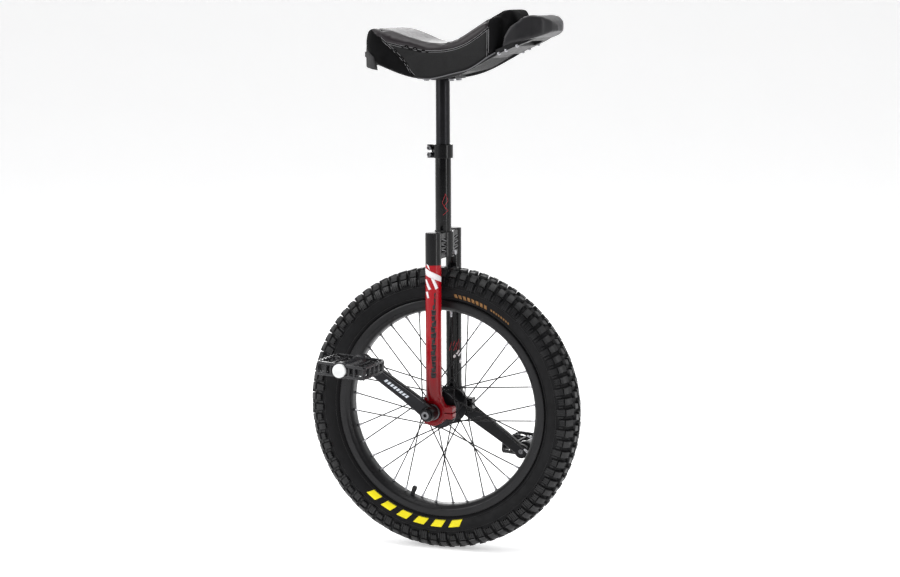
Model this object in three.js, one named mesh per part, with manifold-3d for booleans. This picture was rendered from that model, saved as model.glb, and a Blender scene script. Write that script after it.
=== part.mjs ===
// A 19 inch trials unicycle, in millimetres, +Z up.
// The origin is the point where the tyre touches the ground, straight below the axle.
// +X is forwards, +Y is the rider's left. The right crank and pedal are on the -Y side.
import * as THREE from 'three';
import { mergeVertices } from 'three/addons/utils/BufferGeometryUtils.js';
import Module from 'manifold-3d';

const wasm = await Module();
wasm.setup();

// Clearance between touching pieces
const GAP = 0.3;

// Wheel
const TYRE_RADIUS = 258;
const TYRE_HALF_WIDTH = 32;
const TREAD_HALF_WIDTH = 13;
const RIM_RADIUS = 199.5;
const RIM_HALF_WIDTH = 21;
const RIM_INNER_RADIUS = 178;
const RIM_FLOOR_RADIUS = 181.5;
const BEAD_HALF_WIDTH = 18;
const TYRE_WALL = 3.5;
const TUBE_CENTRE_RADIUS = 222;
const TUBE_SECTION_RADIUS = 23;
const TUBE_WALL = 1.5;
const VALVE_ANGLE = 249.2;
const VALVE_RADIUS = 4;
const VALVE_TIP_RADIUS = 162;
const SPOKES_PER_SIDE = 18;
const SPOKE_RADIUS = 1;
const SPOKE_CIRCLE = 32;
const SPOKE_CROSSES = 3;
const SPOKE_SPACING = 2.2;
const FIRST_SPOKE_ANGLE = 5;
const WHEEL_SEGMENTS = 36;

// Hub, bearings and axle, as distances from the wheel's middle plane
const FLANGE_RADIUS = 34.5;
const FLANGE_OFFSET = 26;
const FLANGE_WIDTH = 3;
const HUB_BODY_RADIUS = 16;
const HUB_END_RADIUS = 13.5;
const AXLE_RADIUS = 11;
const SPLINE_RADIUS = 9.5;
const BEARING_OFFSET = 50;
const BEARING_WIDTH = 12;
const BEARING_RADIUS = 21;
const BEARING_RACE = 3.2;
const SPACER_INNER = 56.5;
const SPACER_OUTER = 61.2;

// Cranks and pedals
const CRANK_LENGTH = 150;
const CRANK_ANGLE = 143;
const CRANK_HUB_WIDTH = 27;
const CRANK_EYE_WIDTH = 20;
const CRANK_INNER = 66;
const CRANK_THICKNESS = 13.5;
const CRANK_FLARE = 13.5;
const CRANK_EYE_RADIUS = 13;
const CRANK_END = 89;
const CRANK_BOLT_RADIUS = 10.5;
const CRANK_BOLT_HEIGHT = 4.2;
const PEDAL_INNER = 100;
const PEDAL_OUTER = 198;
const PEDAL_HALF_LENGTH = 47;
const PEDAL_TILT = 4.5;
const PEDAL_AXLE_RADIUS = 5.2;
const PEDAL_BORE_RADIUS = 9.2;

// Frame
const LEG_RADIUS = 14.3;
const LEG_WALL = 1.5;
const LEG_TOP = 582;
const LEG_FOOT = 30;
const CROWN_BOTTOM = 534;
const CROWN_TOP = 580;
const CROWN_HALF_DEPTH = 12;
const CROWN_BARREL_RADIUS = 19;
const SEAT_TUBE_TOP = 735;
const CLAMP_BOTTOM = 712;
const CLAMP_TOP = 736.5;
const CLAMP_RADIUS = 18;
const CLAMP_BOLT_X = -22.5;
const TAB_LENGTH = 39;
const TAB_HEIGHT = 11;
const TAB_BOLT_X = 32.5;
const HOLDER_RADIUS = 24.8;
const HOLDER_WIDTH = 19;
const HOLDER_LIP_RADIUS = 15.2;
const SPLIT_GAP = 0.8;

// Seat, with its heights measured from the axle
const POST_RADIUS = 12.7;
const POST_WALL = 1.6;
const POST_BOTTOM = 372;
const POST_TOP = 595.5;
const PLATE_HEIGHT = 4;
const BASE_HEIGHT = 9;
const BASE_SKIN = 4;
const BASE_FRONT = 124;
const NOSE_FRONT = 161;
const HANDLE_SLOT = { rear: 163, front: 187, halfWidth: 46 };
const BUMPER_THICKNESS = 7;
const WIDEST_X = -82;

const AXLE_Z = TYRE_RADIUS;
const SIDES = { right: -1, left: 1 };

function paint(color, roughness, metalness) {
  return new THREE.MeshStandardMaterial({ color, roughness, metalness });
}

const BLACK_PAINT = paint(0x151517, 0.35, 0.2);
const RED_PAINT = paint(0xb3141f, 0.3, 0.3);
const BLACK_METAL = paint(0x1b1b1e, 0.4, 0.7);
const STEEL = paint(0xb9bbc0, 0.3, 1.0);
const TYRE_RUBBER = paint(0x1a1b1d, 0.85, 0.0);
const TUBE_RUBBER = paint(0x232325, 0.7, 0.0);
const BLACK_PLASTIC = paint(0x141416, 0.5, 0.0);
const WHITE_PLASTIC = paint(0xeeeeec, 0.4, 0.0);
const CUSHION_COVER = paint(0x2c2c30, 0.8, 0.0);
const GRIP_COVER = paint(0x2a2a2d, 0.45, 0.0);

// ---- solids -------------------------------------------------------------------------

function toSolid(geometry) {
  const bare = new THREE.BufferGeometry();
  bare.setAttribute('position', geometry.getAttribute('position'));
  bare.setIndex(geometry.getIndex());
  const welded = mergeVertices(bare, 1e-4);
  const corners = welded.getIndex().array;
  const kept = [];
  for (let i = 0; i < corners.length; i += 3) {
    const [a, b, c] = [corners[i], corners[i + 1], corners[i + 2]];
    if (a !== b && b !== c && c !== a) kept.push(a, b, c);
  }
  const vertProperties = new Float32Array(welded.getAttribute('position').array);
  const triVerts = new Uint32Array(kept);
  return new wasm.Manifold(new wasm.Mesh({ numProp: 3, vertProperties, triVerts }));
}

function toGeometry(solid) {
  const { vertProperties, triVerts } = solid.getMesh();
  const geometry = new THREE.BufferGeometry();
  geometry.setAttribute('position', new THREE.BufferAttribute(vertProperties, 3));
  geometry.setIndex(new THREE.BufferAttribute(triVerts, 1));
  return geometry;
}

function join(geometries) {
  return toGeometry(geometries.map(toSolid).reduce((all, next) => all.add(next)));
}

function cut(geometry, holes) {
  return toGeometry(holes.map(toSolid).reduce((left, hole) => left.subtract(hole), toSolid(geometry)));
}

function common(geometry, other) {
  return toGeometry(toSolid(geometry).intersect(toSolid(other)));
}

// A turned piece about Y. The outline lists [radius, y], counter-clockwise. The flats, not
// the corners, lie at the given radii, and one flat faces straight down.
function turned(outline, segments, closed) {
  const cornerScale = 1 / Math.cos(Math.PI / segments);
  const points = outline.map(([radius, y]) => new THREE.Vector2(radius * cornerScale, y));
  if (closed) points.push(points[0].clone());
  return new THREE.LatheGeometry(points, segments, Math.PI / segments);
}

function rod(radius, y0, y1, segments = 20) {
  return turned([[0, y0], [radius, y0], [radius, y1], [0, y1]], segments, false);
}

function sleeve(inner, outer, y0, y1, segments = 20) {
  return turned([[inner, y0], [outer, y0], [outer, y1], [inner, y1]], segments, true);
}

// Turns a piece made about Y so that it stands along Z.
function upright(geometry) {
  return geometry.rotateX(Math.PI / 2);
}

function box(x0, x1, y0, y1, z0, z1) {
  const geometry = new THREE.BoxGeometry(x1 - x0, y1 - y0, z1 - z0);
  return geometry.translate((x0 + x1) / 2, (y0 + y1) / 2, (z0 + z1) / 2);
}

// A side view outline in X and Z, given thickness along Y from y0 to y1.
function sideCut(shape, y0, y1, curveSegments = 10) {
  const settings = { depth: y1 - y0, bevelEnabled: false, curveSegments };
  return new THREE.ExtrudeGeometry(shape, settings).rotateX(Math.PI / 2).translate(0, y1, 0);
}

// A plan view outline in X and Y, given height along Z from z0 to z1.
function planCut(shape, z0, z1, curveSegments = 10) {
  const settings = { depth: z1 - z0, bevelEnabled: false, curveSegments };
  return new THREE.ExtrudeGeometry(shape, settings).translate(0, 0, z0);
}

function shapeOf(points) {
  return new THREE.Shape(points.map(([x, y]) => new THREE.Vector2(x, y)));
}

function place(parent, name, geometry, material) {
  const mesh = new THREE.Mesh(geometry, material);
  mesh.name = name;
  parent.add(mesh);
  return mesh;
}

// ---- frame --------------------------------------------------------------------------

// A one-piece clamp in side view: a ring under the leg with a slit between two tabs in front.
function bearingHolderShape() {
  const split = SPLIT_GAP / 2;
  const slitStart = HOLDER_LIP_RADIUS - 4;
  const shoulder = Math.asin(TAB_HEIGHT / HOLDER_RADIUS);
  const flank = THREE.MathUtils.degToRad(150);
  const shape = new THREE.Shape();
  shape.moveTo(TAB_LENGTH, split);
  shape.lineTo(TAB_LENGTH, TAB_HEIGHT);
  shape.lineTo(24, TAB_HEIGHT);
  shape.quadraticCurveTo(16, 13, LEG_RADIUS - 0.5, LEG_FOOT - 3);
  shape.lineTo(-LEG_RADIUS + 0.5, LEG_FOOT - 3);
  shape.lineTo(HOLDER_RADIUS * Math.cos(flank), HOLDER_RADIUS * Math.sin(flank));
  shape.absarc(0, 0, HOLDER_RADIUS, flank, 2 * Math.PI - shoulder, false);
  shape.lineTo(TAB_LENGTH, -TAB_HEIGHT);
  shape.lineTo(TAB_LENGTH, -split);
  shape.lineTo(slitStart, -split);
  shape.lineTo(slitStart, split);
  shape.lineTo(TAB_LENGTH, split);
  return shape;
}

function addLeg(frame, side) {
  const leg = new THREE.Group();
  leg.position.set(0, SIDES[side] * BEARING_OFFSET, 0);
  frame.add(leg);
  const capTop = LEG_TOP - AXLE_Z;
  const lower = side === 'right' ? RED_PAINT : BLACK_PAINT;
  const hang = new THREE.Group();
  hang.position.z = AXLE_Z;
  leg.add(hang);

  const inner = LEG_RADIUS - LEG_WALL;
  const tube = upright(sleeve(inner, LEG_RADIUS, LEG_FOOT + GAP, capTop - 1.5 - GAP, 24));
  place(hang, `leg_${side}`, tube, lower);

  const plugRadius = inner - GAP;
  const cap = [[0, capTop - 9], [plugRadius, capTop - 9], [plugRadius, capTop - 1.5],
    [LEG_RADIUS, capTop - 1.5], [LEG_RADIUS, capTop], [0, capTop]];
  place(hang, `leg_cap_${side}`, upright(turned(cap, 24, false)), BLACK_PLASTIC);

  const half = HOLDER_WIDTH / 2;
  const reach = LEG_RADIUS + 1;
  const boss = upright(rod(LEG_RADIUS, LEG_FOOT - 6, LEG_FOOT, 24));
  const lip = SIDES[side] * (BEARING_WIDTH / 2 + GAP);
  const open = -SIDES[side] * reach;
  const bearingRoom = rod(BEARING_RADIUS + GAP, Math.min(lip, open), Math.max(lip, open), 24);
  const lipHole = rod(HOLDER_LIP_RADIUS, -reach, reach, 24);
  const boltHole = upright(rod(3.2, -20, 20, 12)).translate(TAB_BOLT_X, 0, 0);
  const holder = join([sideCut(bearingHolderShape(), -half, half), boss]);
  place(hang, `bearing_holder_${side}`, cut(holder, [bearingRoom, lipHole, boltHole]), lower);

  const headTop = -TAB_HEIGHT - GAP;
  const outline = [[0, headTop - 5], [5, headTop - 5], [5, headTop], [2.8, headTop],
    [2.8, TAB_HEIGHT], [0, TAB_HEIGHT]];
  const bolt = upright(turned(outline, 16, false));
  place(hang, `bearing_bolt_${side}`, bolt, BLACK_METAL).position.x = TAB_BOLT_X;

  const race = BEARING_RADIUS - BEARING_RACE;
  const outer = sleeve(race, BEARING_RADIUS, -BEARING_WIDTH / 2, BEARING_WIDTH / 2, 24);
  place(hang, `bearing_outer_ring_${side}`, outer, STEEL);
}

function crownGeometry() {
  const reach = 41;
  const barrel = upright(rod(CROWN_BARREL_RADIUS, CROWN_BOTTOM, CROWN_TOP, 24));
  const depth = CROWN_HALF_DEPTH;
  const beam = box(-depth, depth, -reach, reach, CROWN_BOTTOM, CROWN_TOP);
  const holes = [upright(rod(LEG_RADIUS + GAP, CROWN_BOTTOM - 1, CROWN_TOP + 1, 24))];
  for (const sign of Object.values(SIDES)) {
    const cope = upright(rod(LEG_RADIUS + GAP, CROWN_BOTTOM - 1, CROWN_TOP + 1, 24));
    holes.push(cope.translate(0, sign * BEARING_OFFSET, 0));
    for (const face of [-1, 1]) {
      for (let groove = 0; groove < 3; groove += 1) {
        const z = CROWN_BOTTOM + 11 + groove * 9.5;
        const x = face * (depth + 3);
        const y = sign * 32;
        holes.push(box(x - 5.5, x + 5.5, y - 11, y + 11, z, z + 5));
      }
    }
  }
  holes.push(rod(3.3, CROWN_BARREL_RADIUS - 6, CROWN_BARREL_RADIUS + 6, 12)
    .rotateZ(-Math.PI / 2).translate(0, 0, CROWN_BOTTOM + 8));
  return cut(join([barrel, beam]), holes);
}

function addFrame(group) {
  const frame = new THREE.Group();
  group.add(frame);
  for (const side of Object.keys(SIDES)) addLeg(frame, side);

  place(frame, 'crown', crownGeometry(), BLACK_PAINT);
  const start = CROWN_BARREL_RADIUS + GAP;
  const bolt = [[0, start - 3], [3, start - 3], [3, start], [6.5, start], [6.5, start + 5], [0, start + 5]];
  place(frame, 'crown_bolt', turned(bolt, 12, false).rotateZ(-Math.PI / 2), STEEL)
    .position.z = CROWN_BOTTOM + 8;

  const seatTube = upright(sleeve(POST_RADIUS + 0.4, LEG_RADIUS, CROWN_BOTTOM, SEAT_TUBE_TOP, 24));
  place(frame, 'seat_tube', seatTube, BLACK_PAINT);

  const bolts = { lower: CLAMP_BOTTOM + 6, upper: CLAMP_TOP - 6.5 };
  const collar = upright(sleeve(LEG_RADIUS + GAP, CLAMP_RADIUS, CLAMP_BOTTOM, CLAMP_TOP, 24));
  const ears = box(-27.5, -LEG_RADIUS - 2, -8, 8, CLAMP_BOTTOM, CLAMP_TOP);
  const rib = box(LEG_RADIUS + 2, CLAMP_RADIUS + 1.5, -8, 8, CLAMP_BOTTOM + 3, CLAMP_TOP - 3);
  const slit = box(-30, -LEG_RADIUS + 2, -1, 1, CLAMP_BOTTOM - 1, CLAMP_TOP + 1);
  const boltHoles = Object.values(bolts).map((z) => rod(2.8, -10, 10, 12).translate(CLAMP_BOLT_X, 0, z));
  place(frame, 'seat_clamp', cut(join([collar, ears, rib]), [slit, ...boltHoles]), BLACK_METAL);
  for (const [name, z] of Object.entries(bolts)) {
    const head = -8 - GAP;
    const outline = [[0, head - 4], [4.2, head - 4], [4.2, head], [2.4, head], [2.4, 9.5], [0, 9.5]];
    place(frame, `seat_clamp_bolt_${name}`, turned(outline, 12, false), STEEL)
      .position.set(CLAMP_BOLT_X, 0, z);
  }
}

// ---- wheel --------------------------------------------------------------------------

function mirrored(half) {
  const lower = half.map(([radius, y]) => [radius, -y]);
  return [...lower, ...half.slice().reverse()];
}

function tyreOutline() {
  const outer = [[191.2, BEAD_HALF_WIDTH], [200.3, BEAD_HALF_WIDTH], [213, 27.5],
    [231, TYRE_HALF_WIDTH], [247, TYRE_HALF_WIDTH], [254.5, 24], [TYRE_RADIUS, TREAD_HALF_WIDTH]];
  const inner = [[191.2, BEAD_HALF_WIDTH - TYRE_WALL], [201, BEAD_HALF_WIDTH - TYRE_WALL],
    [213, 23.5], [232, 28], [245, 26], [251, 12]];
  return [...mirrored(outer), ...mirrored(inner).reverse()];
}

function rimOutline() {
  const outer = [[RIM_INNER_RADIUS, 8], [181, 15], [186, RIM_HALF_WIDTH], [RIM_RADIUS, RIM_HALF_WIDTH]];
  const inner = [[RIM_FLOOR_RADIUS, 7], [183.5, 11], [189.5, 15.5], [190.5, 18.4], [RIM_RADIUS, 18.4]];
  const opened = inner.slice().reverse();
  return [...outer.map(([radius, y]) => [radius, -y]), ...opened.map(([radius, y]) => [radius, -y]),
    ...inner, ...outer.slice().reverse()];
}

// A solid rod that points outwards along the valve, from one radius to another.
function alongValve(radius, from, to, segments = 12) {
  const angle = THREE.MathUtils.degToRad(VALVE_ANGLE);
  return rod(radius, from, to, segments).rotateZ(-Math.PI / 2).rotateY(-angle);
}

function innerTubeGeometry() {
  const sides = 8;
  const section = (radius) => Array.from({ length: sides }, (_, i) => {
    const angle = (i + 0.5) * 2 * Math.PI / sides;
    return [TUBE_CENTRE_RADIUS + radius * Math.cos(angle), radius * Math.sin(angle)];
  });
  const skin = turned(section(TUBE_SECTION_RADIUS), 30, true);
  const air = turned(section(TUBE_SECTION_RADIUS - TUBE_WALL), 30, true);
  const low = TUBE_CENTRE_RADIUS - TUBE_SECTION_RADIUS;
  return cut(skin, [air, alongValve(VALVE_RADIUS + GAP, low - 2, low + 5)]);
}

// The spokes of one side: each leaves the hub flange near the tangent and reaches the rim
// under its nipple. Every other spoke runs the opposite way, one spoke's thickness further
// out, and a thin ring at the spoke heads holds the set together.
function spokeSetGeometry(sign) {
  const headY = FLANGE_OFFSET + FLANGE_WIDTH / 2 + 1.6;
  const ringY = [sign * headY, sign * (headY + SPOKE_SPACING + 1.6)].sort((a, b) => a - b);
  const pieces = [sleeve(SPOKE_CIRCLE - 2, SPOKE_CIRCLE + 1.5, ringY[0], ringY[1], 18)];
  const pitch = 2 * Math.PI / SPOKES_PER_SIDE;
  const first = THREE.MathUtils.degToRad(FIRST_SPOKE_ANGLE) + (sign > 0 ? pitch / 2 : 0);
  for (let i = 0; i < SPOKES_PER_SIDE; i += 1) {
    const rimAngle = first + i * pitch;
    const forward = (i % 2 === 0) === (sign > 0);
    const lead = (forward ? 1 : -1) * SPOKE_CROSSES * pitch;
    const step = forward ? 0 : SPOKE_SPACING;
    const start = polar(SPOKE_CIRCLE, rimAngle + lead, sign * (headY + 0.8 + step));
    const end = polar(RIM_INNER_RADIUS - 2 * GAP, rimAngle, sign * (2 + step));
    pieces.push(rodBetween(start, end, SPOKE_RADIUS));
  }
  return join(pieces);
}

function polar(radius, angle, y) {
  return new THREE.Vector3(radius * Math.cos(angle), y, radius * Math.sin(angle));
}

function rodBetween(start, end, radius) {
  const along = new THREE.Vector3().subVectors(end, start);
  const turn = new THREE.Quaternion().setFromUnitVectors(
    new THREE.Vector3(0, 1, 0), along.clone().normalize());
  return rod(radius, 0, along.length(), 5).applyQuaternion(turn).translate(start.x, start.y, start.z);
}

function hubOutline() {
  const end = BEARING_OFFSET - BEARING_WIDTH / 2 - GAP;
  const near = FLANGE_OFFSET - FLANGE_WIDTH / 2;
  const far = FLANGE_OFFSET + FLANGE_WIDTH / 2;
  const outer = [[HUB_END_RADIUS, end], [HUB_END_RADIUS, far + 2], [SPOKE_CIRCLE - 6, far],
    [FLANGE_RADIUS, far], [FLANGE_RADIUS, near], [HUB_BODY_RADIUS, near - 3]];
  const bore = AXLE_RADIUS + GAP;
  return [[bore, -end], ...outer.map(([radius, y]) => [radius, -y]), ...outer.slice().reverse(), [bore, end]];
}

function axleGeometry() {
  const tip = CRANK_END - 3;
  const step = SPACER_OUTER + 0.5;
  const half = [[0, 68], [6.3, 68], [6.3, tip], [SPLINE_RADIUS, tip], [SPLINE_RADIUS, step], [AXLE_RADIUS, step]];
  return turned(mirrored(half), 24, false);
}

function addHub(wheel) {
  place(wheel, 'hub_shell', turned(hubOutline(), 24, true), BLACK_METAL);
  place(wheel, 'axle', axleGeometry(), STEEL);
  for (const [side, sign] of Object.entries(SIDES)) {
    const bore = AXLE_RADIUS + GAP;
    const race = AXLE_RADIUS + BEARING_RACE;
    const half = BEARING_WIDTH / 2;
    const inner = sleeve(bore, race, -half, half);
    place(wheel, `bearing_inner_ring_${side}`, inner, STEEL).position.y = sign * BEARING_OFFSET;
    const cage = sleeve(race + GAP, BEARING_RADIUS - BEARING_RACE - 3 * GAP, -half + 2, half - 2);
    place(wheel, `bearing_cage_${side}`, cage, STEEL).position.y = sign * BEARING_OFFSET;
    const width = (SPACER_OUTER - SPACER_INNER) / 2;
    const spacer = sleeve(bore, 14.5, -width, width);
    place(wheel, `spacer_${side}`, spacer, STEEL).position.y = sign * (SPACER_INNER + width);
    place(wheel, `spokes_${side}`, spokeSetGeometry(sign), BLACK_METAL);
  }
}

function addWheel(group) {
  const wheel = new THREE.Group();
  wheel.position.z = AXLE_Z;
  group.add(wheel);
  place(wheel, 'tyre', turned(tyreOutline(), WHEEL_SEGMENTS, true), TYRE_RUBBER);
  place(wheel, 'inner_tube', innerTubeGeometry(), TUBE_RUBBER);
  const valveHole = alongValve(VALVE_RADIUS + GAP, RIM_INNER_RADIUS - 8, RIM_FLOOR_RADIUS + 8);
  const rim = turned(rimOutline(), WHEEL_SEGMENTS, true);
  place(wheel, 'rim', cut(rim, [valveHole]), BLACK_METAL);
  const tapeRadius = RIM_FLOOR_RADIUS + GAP;
  const tape = sleeve(tapeRadius, tapeRadius + 0.8, -6.5, 6.5, WHEEL_SEGMENTS);
  place(wheel, 'rim_tape', cut(tape, [valveHole]), TUBE_RUBBER);
  const capStart = VALVE_TIP_RADIUS + 9;
  place(wheel, 'valve_stem', alongValve(VALVE_RADIUS, capStart + GAP, 197, 12), BLACK_METAL);
  place(wheel, 'valve_cap', alongValve(4.6, VALVE_TIP_RADIUS, capStart, 12), BLACK_PLASTIC);
  addHub(wheel);
  addCranks(wheel);
}

// ---- cranks and pedals --------------------------------------------------------------

// The right crank, lying along +X with its outer face at -Y.
function crankGeometry() {
  const inner = -CRANK_INNER;
  const outer = inner - CRANK_THICKNESS;
  const hubHalf = CRANK_HUB_WIDTH / 2;
  const eyeHalf = CRANK_EYE_WIDTH / 2;
  const side = [[4, inner], [4, outer], [40, outer - 1], [118, outer - CRANK_FLARE],
    [CRANK_LENGTH, outer - CRANK_FLARE], [CRANK_LENGTH, inner - CRANK_FLARE], [118, inner - CRANK_FLARE],
    [40, inner - 1]];
  const taper = shapeOf([[0, -hubHalf], [CRANK_LENGTH, -eyeHalf], [CRANK_LENGTH, eyeHalf], [0, hubHalf]]);
  const arm = common(planCut(shapeOf(side), -hubHalf, hubHalf), sideCut(taper, -CRANK_END - 10, inner));
  const eye = rod(CRANK_EYE_RADIUS, outer - CRANK_FLARE, inner - CRANK_FLARE, 24).translate(CRANK_LENGTH, 0, 0);
  const bossOutline = [[0, -CRANK_END], [11.8, -CRANK_END], [13.2, outer - 2], [hubHalf, outer],
    [hubHalf, -SPACER_OUTER - 1.1], [0, -SPACER_OUTER - 1.1]];
  const boss = turned(bossOutline, 24, false);
  const splines = rod(SPLINE_RADIUS + GAP, -CRANK_END - 1, -SPACER_OUTER, 24);
  const thread = rod(7 + GAP, -120, -60, 16).translate(CRANK_LENGTH, 0, 0);
  return cut(join([arm, eye, boss]), [splines, thread]);
}

function crankBoltGeometry() {
  const base = -CRANK_END - GAP;
  const face = base - CRANK_BOLT_HEIGHT;
  const outline = [[0, face + 3.5], [3.4, face + 3.5], [3.4, face], [CRANK_BOLT_RADIUS - 1, face],
    [CRANK_BOLT_RADIUS, face + 1], [CRANK_BOLT_RADIUS, base], [5.9, base], [5.9, -70], [0, -70]];
  return turned(outline, 16, false);
}

function pedalAxleGeometry() {
  const crankFace = -CRANK_INNER - CRANK_FLARE;
  const outline = [[0, -190], [PEDAL_AXLE_RADIUS, -190], [PEDAL_AXLE_RADIUS, -PEDAL_INNER + 1],
    [8.5, -PEDAL_INNER + 1.5], [8.5, crankFace - CRANK_THICKNESS - GAP], [7, crankFace - CRANK_THICKNESS - GAP],
    [7, crankFace], [0, crankFace]];
  return turned(outline, 16, false);
}

function pedalBodyGeometry() {
  const bars = [rod(12, -PEDAL_OUTER, -PEDAL_INNER, 16)];
  const crossBars = [PEDAL_INNER, (PEDAL_INNER + PEDAL_OUTER) / 2 - 4, PEDAL_OUTER - 8];
  for (const y of crossBars) bars.push(box(-44, 44, -y - 8, -y, -9, 9));
  const rail = 6;
  for (const sign of [-1, 1]) {
    const edges = [sign * (PEDAL_HALF_LENGTH - rail), sign * PEDAL_HALF_LENGTH].sort((a, b) => a - b);
    bars.push(box(edges[0], edges[1], -PEDAL_OUTER + 2, -PEDAL_INNER - 2, -12, 12));
  }
  return cut(join(bars), [rod(PEDAL_BORE_RADIUS, -PEDAL_OUTER - 1, -PEDAL_INNER + 1, 16)]);
}

function pedalCapGeometry() {
  const face = -PEDAL_OUTER - GAP;
  const plug = PEDAL_BORE_RADIUS - 2 * GAP;
  return turned([[0, face - 2.5], [11, face - 2.5], [12, face - 1.5], [12, face], [plug, face],
    [plug, face + 5], [0, face + 5]], 16, false);
}

function addCranks(wheel) {
  const crankset = new THREE.Group();
  crankset.rotation.y = -THREE.MathUtils.degToRad(CRANK_ANGLE);
  wheel.add(crankset);
  for (const side of Object.keys(SIDES)) {
    const half = new THREE.Group();
    half.rotation.z = side === 'right' ? 0 : Math.PI;
    crankset.add(half);
    place(half, `crank_${side}`, crankGeometry(), BLACK_METAL);
    place(half, `crank_bolt_${side}`, crankBoltGeometry(), STEEL);
    place(half, `pedal_axle_${side}`, pedalAxleGeometry(), STEEL).position.x = CRANK_LENGTH;

    const pedal = new THREE.Group();
    pedal.position.x = CRANK_LENGTH;
    const level = THREE.MathUtils.degToRad(CRANK_ANGLE - PEDAL_TILT);
    pedal.rotation.y = side === 'right' ? level : -THREE.MathUtils.degToRad(CRANK_ANGLE + PEDAL_TILT);
    half.add(pedal);
    place(pedal, `pedal_body_${side}`, pedalBodyGeometry(), BLACK_PLASTIC);
    const bush = sleeve(PEDAL_AXLE_RADIUS + 2 * GAP, PEDAL_BORE_RADIUS - GAP, -130, -PEDAL_INNER - 1, 16);
    place(pedal, `pedal_bush_${side}`, bush, STEEL);
    place(pedal, `pedal_end_cap_${side}`, pedalCapGeometry(), WHITE_PLASTIC);
  }
}

// ---- seat ---------------------------------------------------------------------------

// The lower edge of the seat's shell, its ridge line, and half its width, all along X.
const HEM = new THREE.SplineCurve([[-124, 636], [-82, 618], [-32, 600], [12, 596], [75, 604],
  [139, 633], [216, 675]].map(([x, z]) => new THREE.Vector2(x, z)));
const RIDGE = new THREE.SplineCurve([[-137, 655], [-134, 668], [-113, 685], [-79, 679], [-12, 657],
  [37, 659], [86, 685], [134, 715], [150, 718], [NOSE_FRONT, 705]].map(([x, z]) => new THREE.Vector2(x, z)));
const SEAT_EDGE = [[-138, 20], [-134, 48], [-122, 70], [-104, 82], [-82, 85], [-50, 80], [-10, 68],
  [35, 62], [75, 63], [106, 65], [120, 62]];
const NOSE_EDGE = [[126.5, 45], [152, 42], [NOSE_FRONT, 32]];
const HANDLE_EDGE = [[BASE_FRONT, 64], [160, 63], [188, 58], [206, 48], [217, 32], [221, 14]];

// A band in side view between two heights above the hem, from x0 to x1.
function hemBand(low, high, x0, x1) {
  const points = HEM.getPoints(24).filter((point) => point.x > x0 && point.x < x1);
  const line = [[x0, heightAt(HEM, x0)], ...points.map((point) => [point.x, point.y]), [x1, heightAt(HEM, x1)]];
  const under = line.map(([x, z]) => [x, z + low]);
  const over = line.map(([x, z]) => [x, z + high]).reverse();
  return shapeOf([...under, ...over]);
}

function heightAt(curve, x) {
  const points = curve.getPoints(200);
  const next = Math.max(1, points.findIndex((point) => point.x >= x));
  const [a, b] = [points[next - 1], points[next]];
  return THREE.MathUtils.lerp(a.y, b.y, (x - a.x) / (b.x - a.x));
}

// A plan outline that is the same on both sides, from half widths along X. An inset moves
// the sides in, and moves the rounded back end forwards as well.
function bothSides(edge, inset = 0) {
  const backEnd = (x) => THREE.MathUtils.clamp((WIDEST_X - x) / (WIDEST_X - edge[0][0]), 0, 1);
  const halves = edge.map(([x, y]) => [x + inset * backEnd(x), y - inset]);
  return shapeOf([...halves.map(([x, y]) => [x, -y]), ...halves.slice().reverse()]);
}

function cushionSide() {
  const top = RIDGE.getPoints(36).map((point) => [point.x, point.y]).reverse();
  const hem = HEM.getPoints(24).filter((point) => point.x < NOSE_FRONT - 4);
  return shapeOf([...hem.map((point) => [point.x, point.y + BASE_HEIGHT + GAP]),
    [NOSE_FRONT, heightAt(HEM, NOSE_FRONT) + BASE_HEIGHT + GAP], ...top]);
}

// The region at the back of the seat that the bumper fills, in side view.
function bumperSide(margin) {
  return shapeOf([[-145, 620], [-92 + margin, 612], [-98 + margin, 636 + margin], [-118, 650 + margin],
    [-145, 662 + margin]]);
}

function handleOutline(slotOnly) {
  const { rear, front, halfWidth } = HANDLE_SLOT;
  const outline = bothSides(HANDLE_EDGE);
  const start = slotOnly ? rear : BASE_FRONT - 5;
  const corner = 12;
  return { outline, slot: shapeOf([[start, -halfWidth], [front - corner, -halfWidth],
    [front, -halfWidth + corner], [front, halfWidth - corner], [front - corner, halfWidth],
    [start, halfWidth]]) };
}

function gripSide() {
  const rise = BASE_HEIGHT + GAP;
  const back = HEM.getPoints(24).filter((point) => point.x > 130).map((point) => [point.x, point.y + rise]);
  return shapeOf([[127, heightAt(HEM, 127) + rise], ...back, [222, 684], [222, 693], [216, 702], [203, 707.5],
    [184, 709], [168, 703], [148, 681], [132, 657]]);
}

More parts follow.
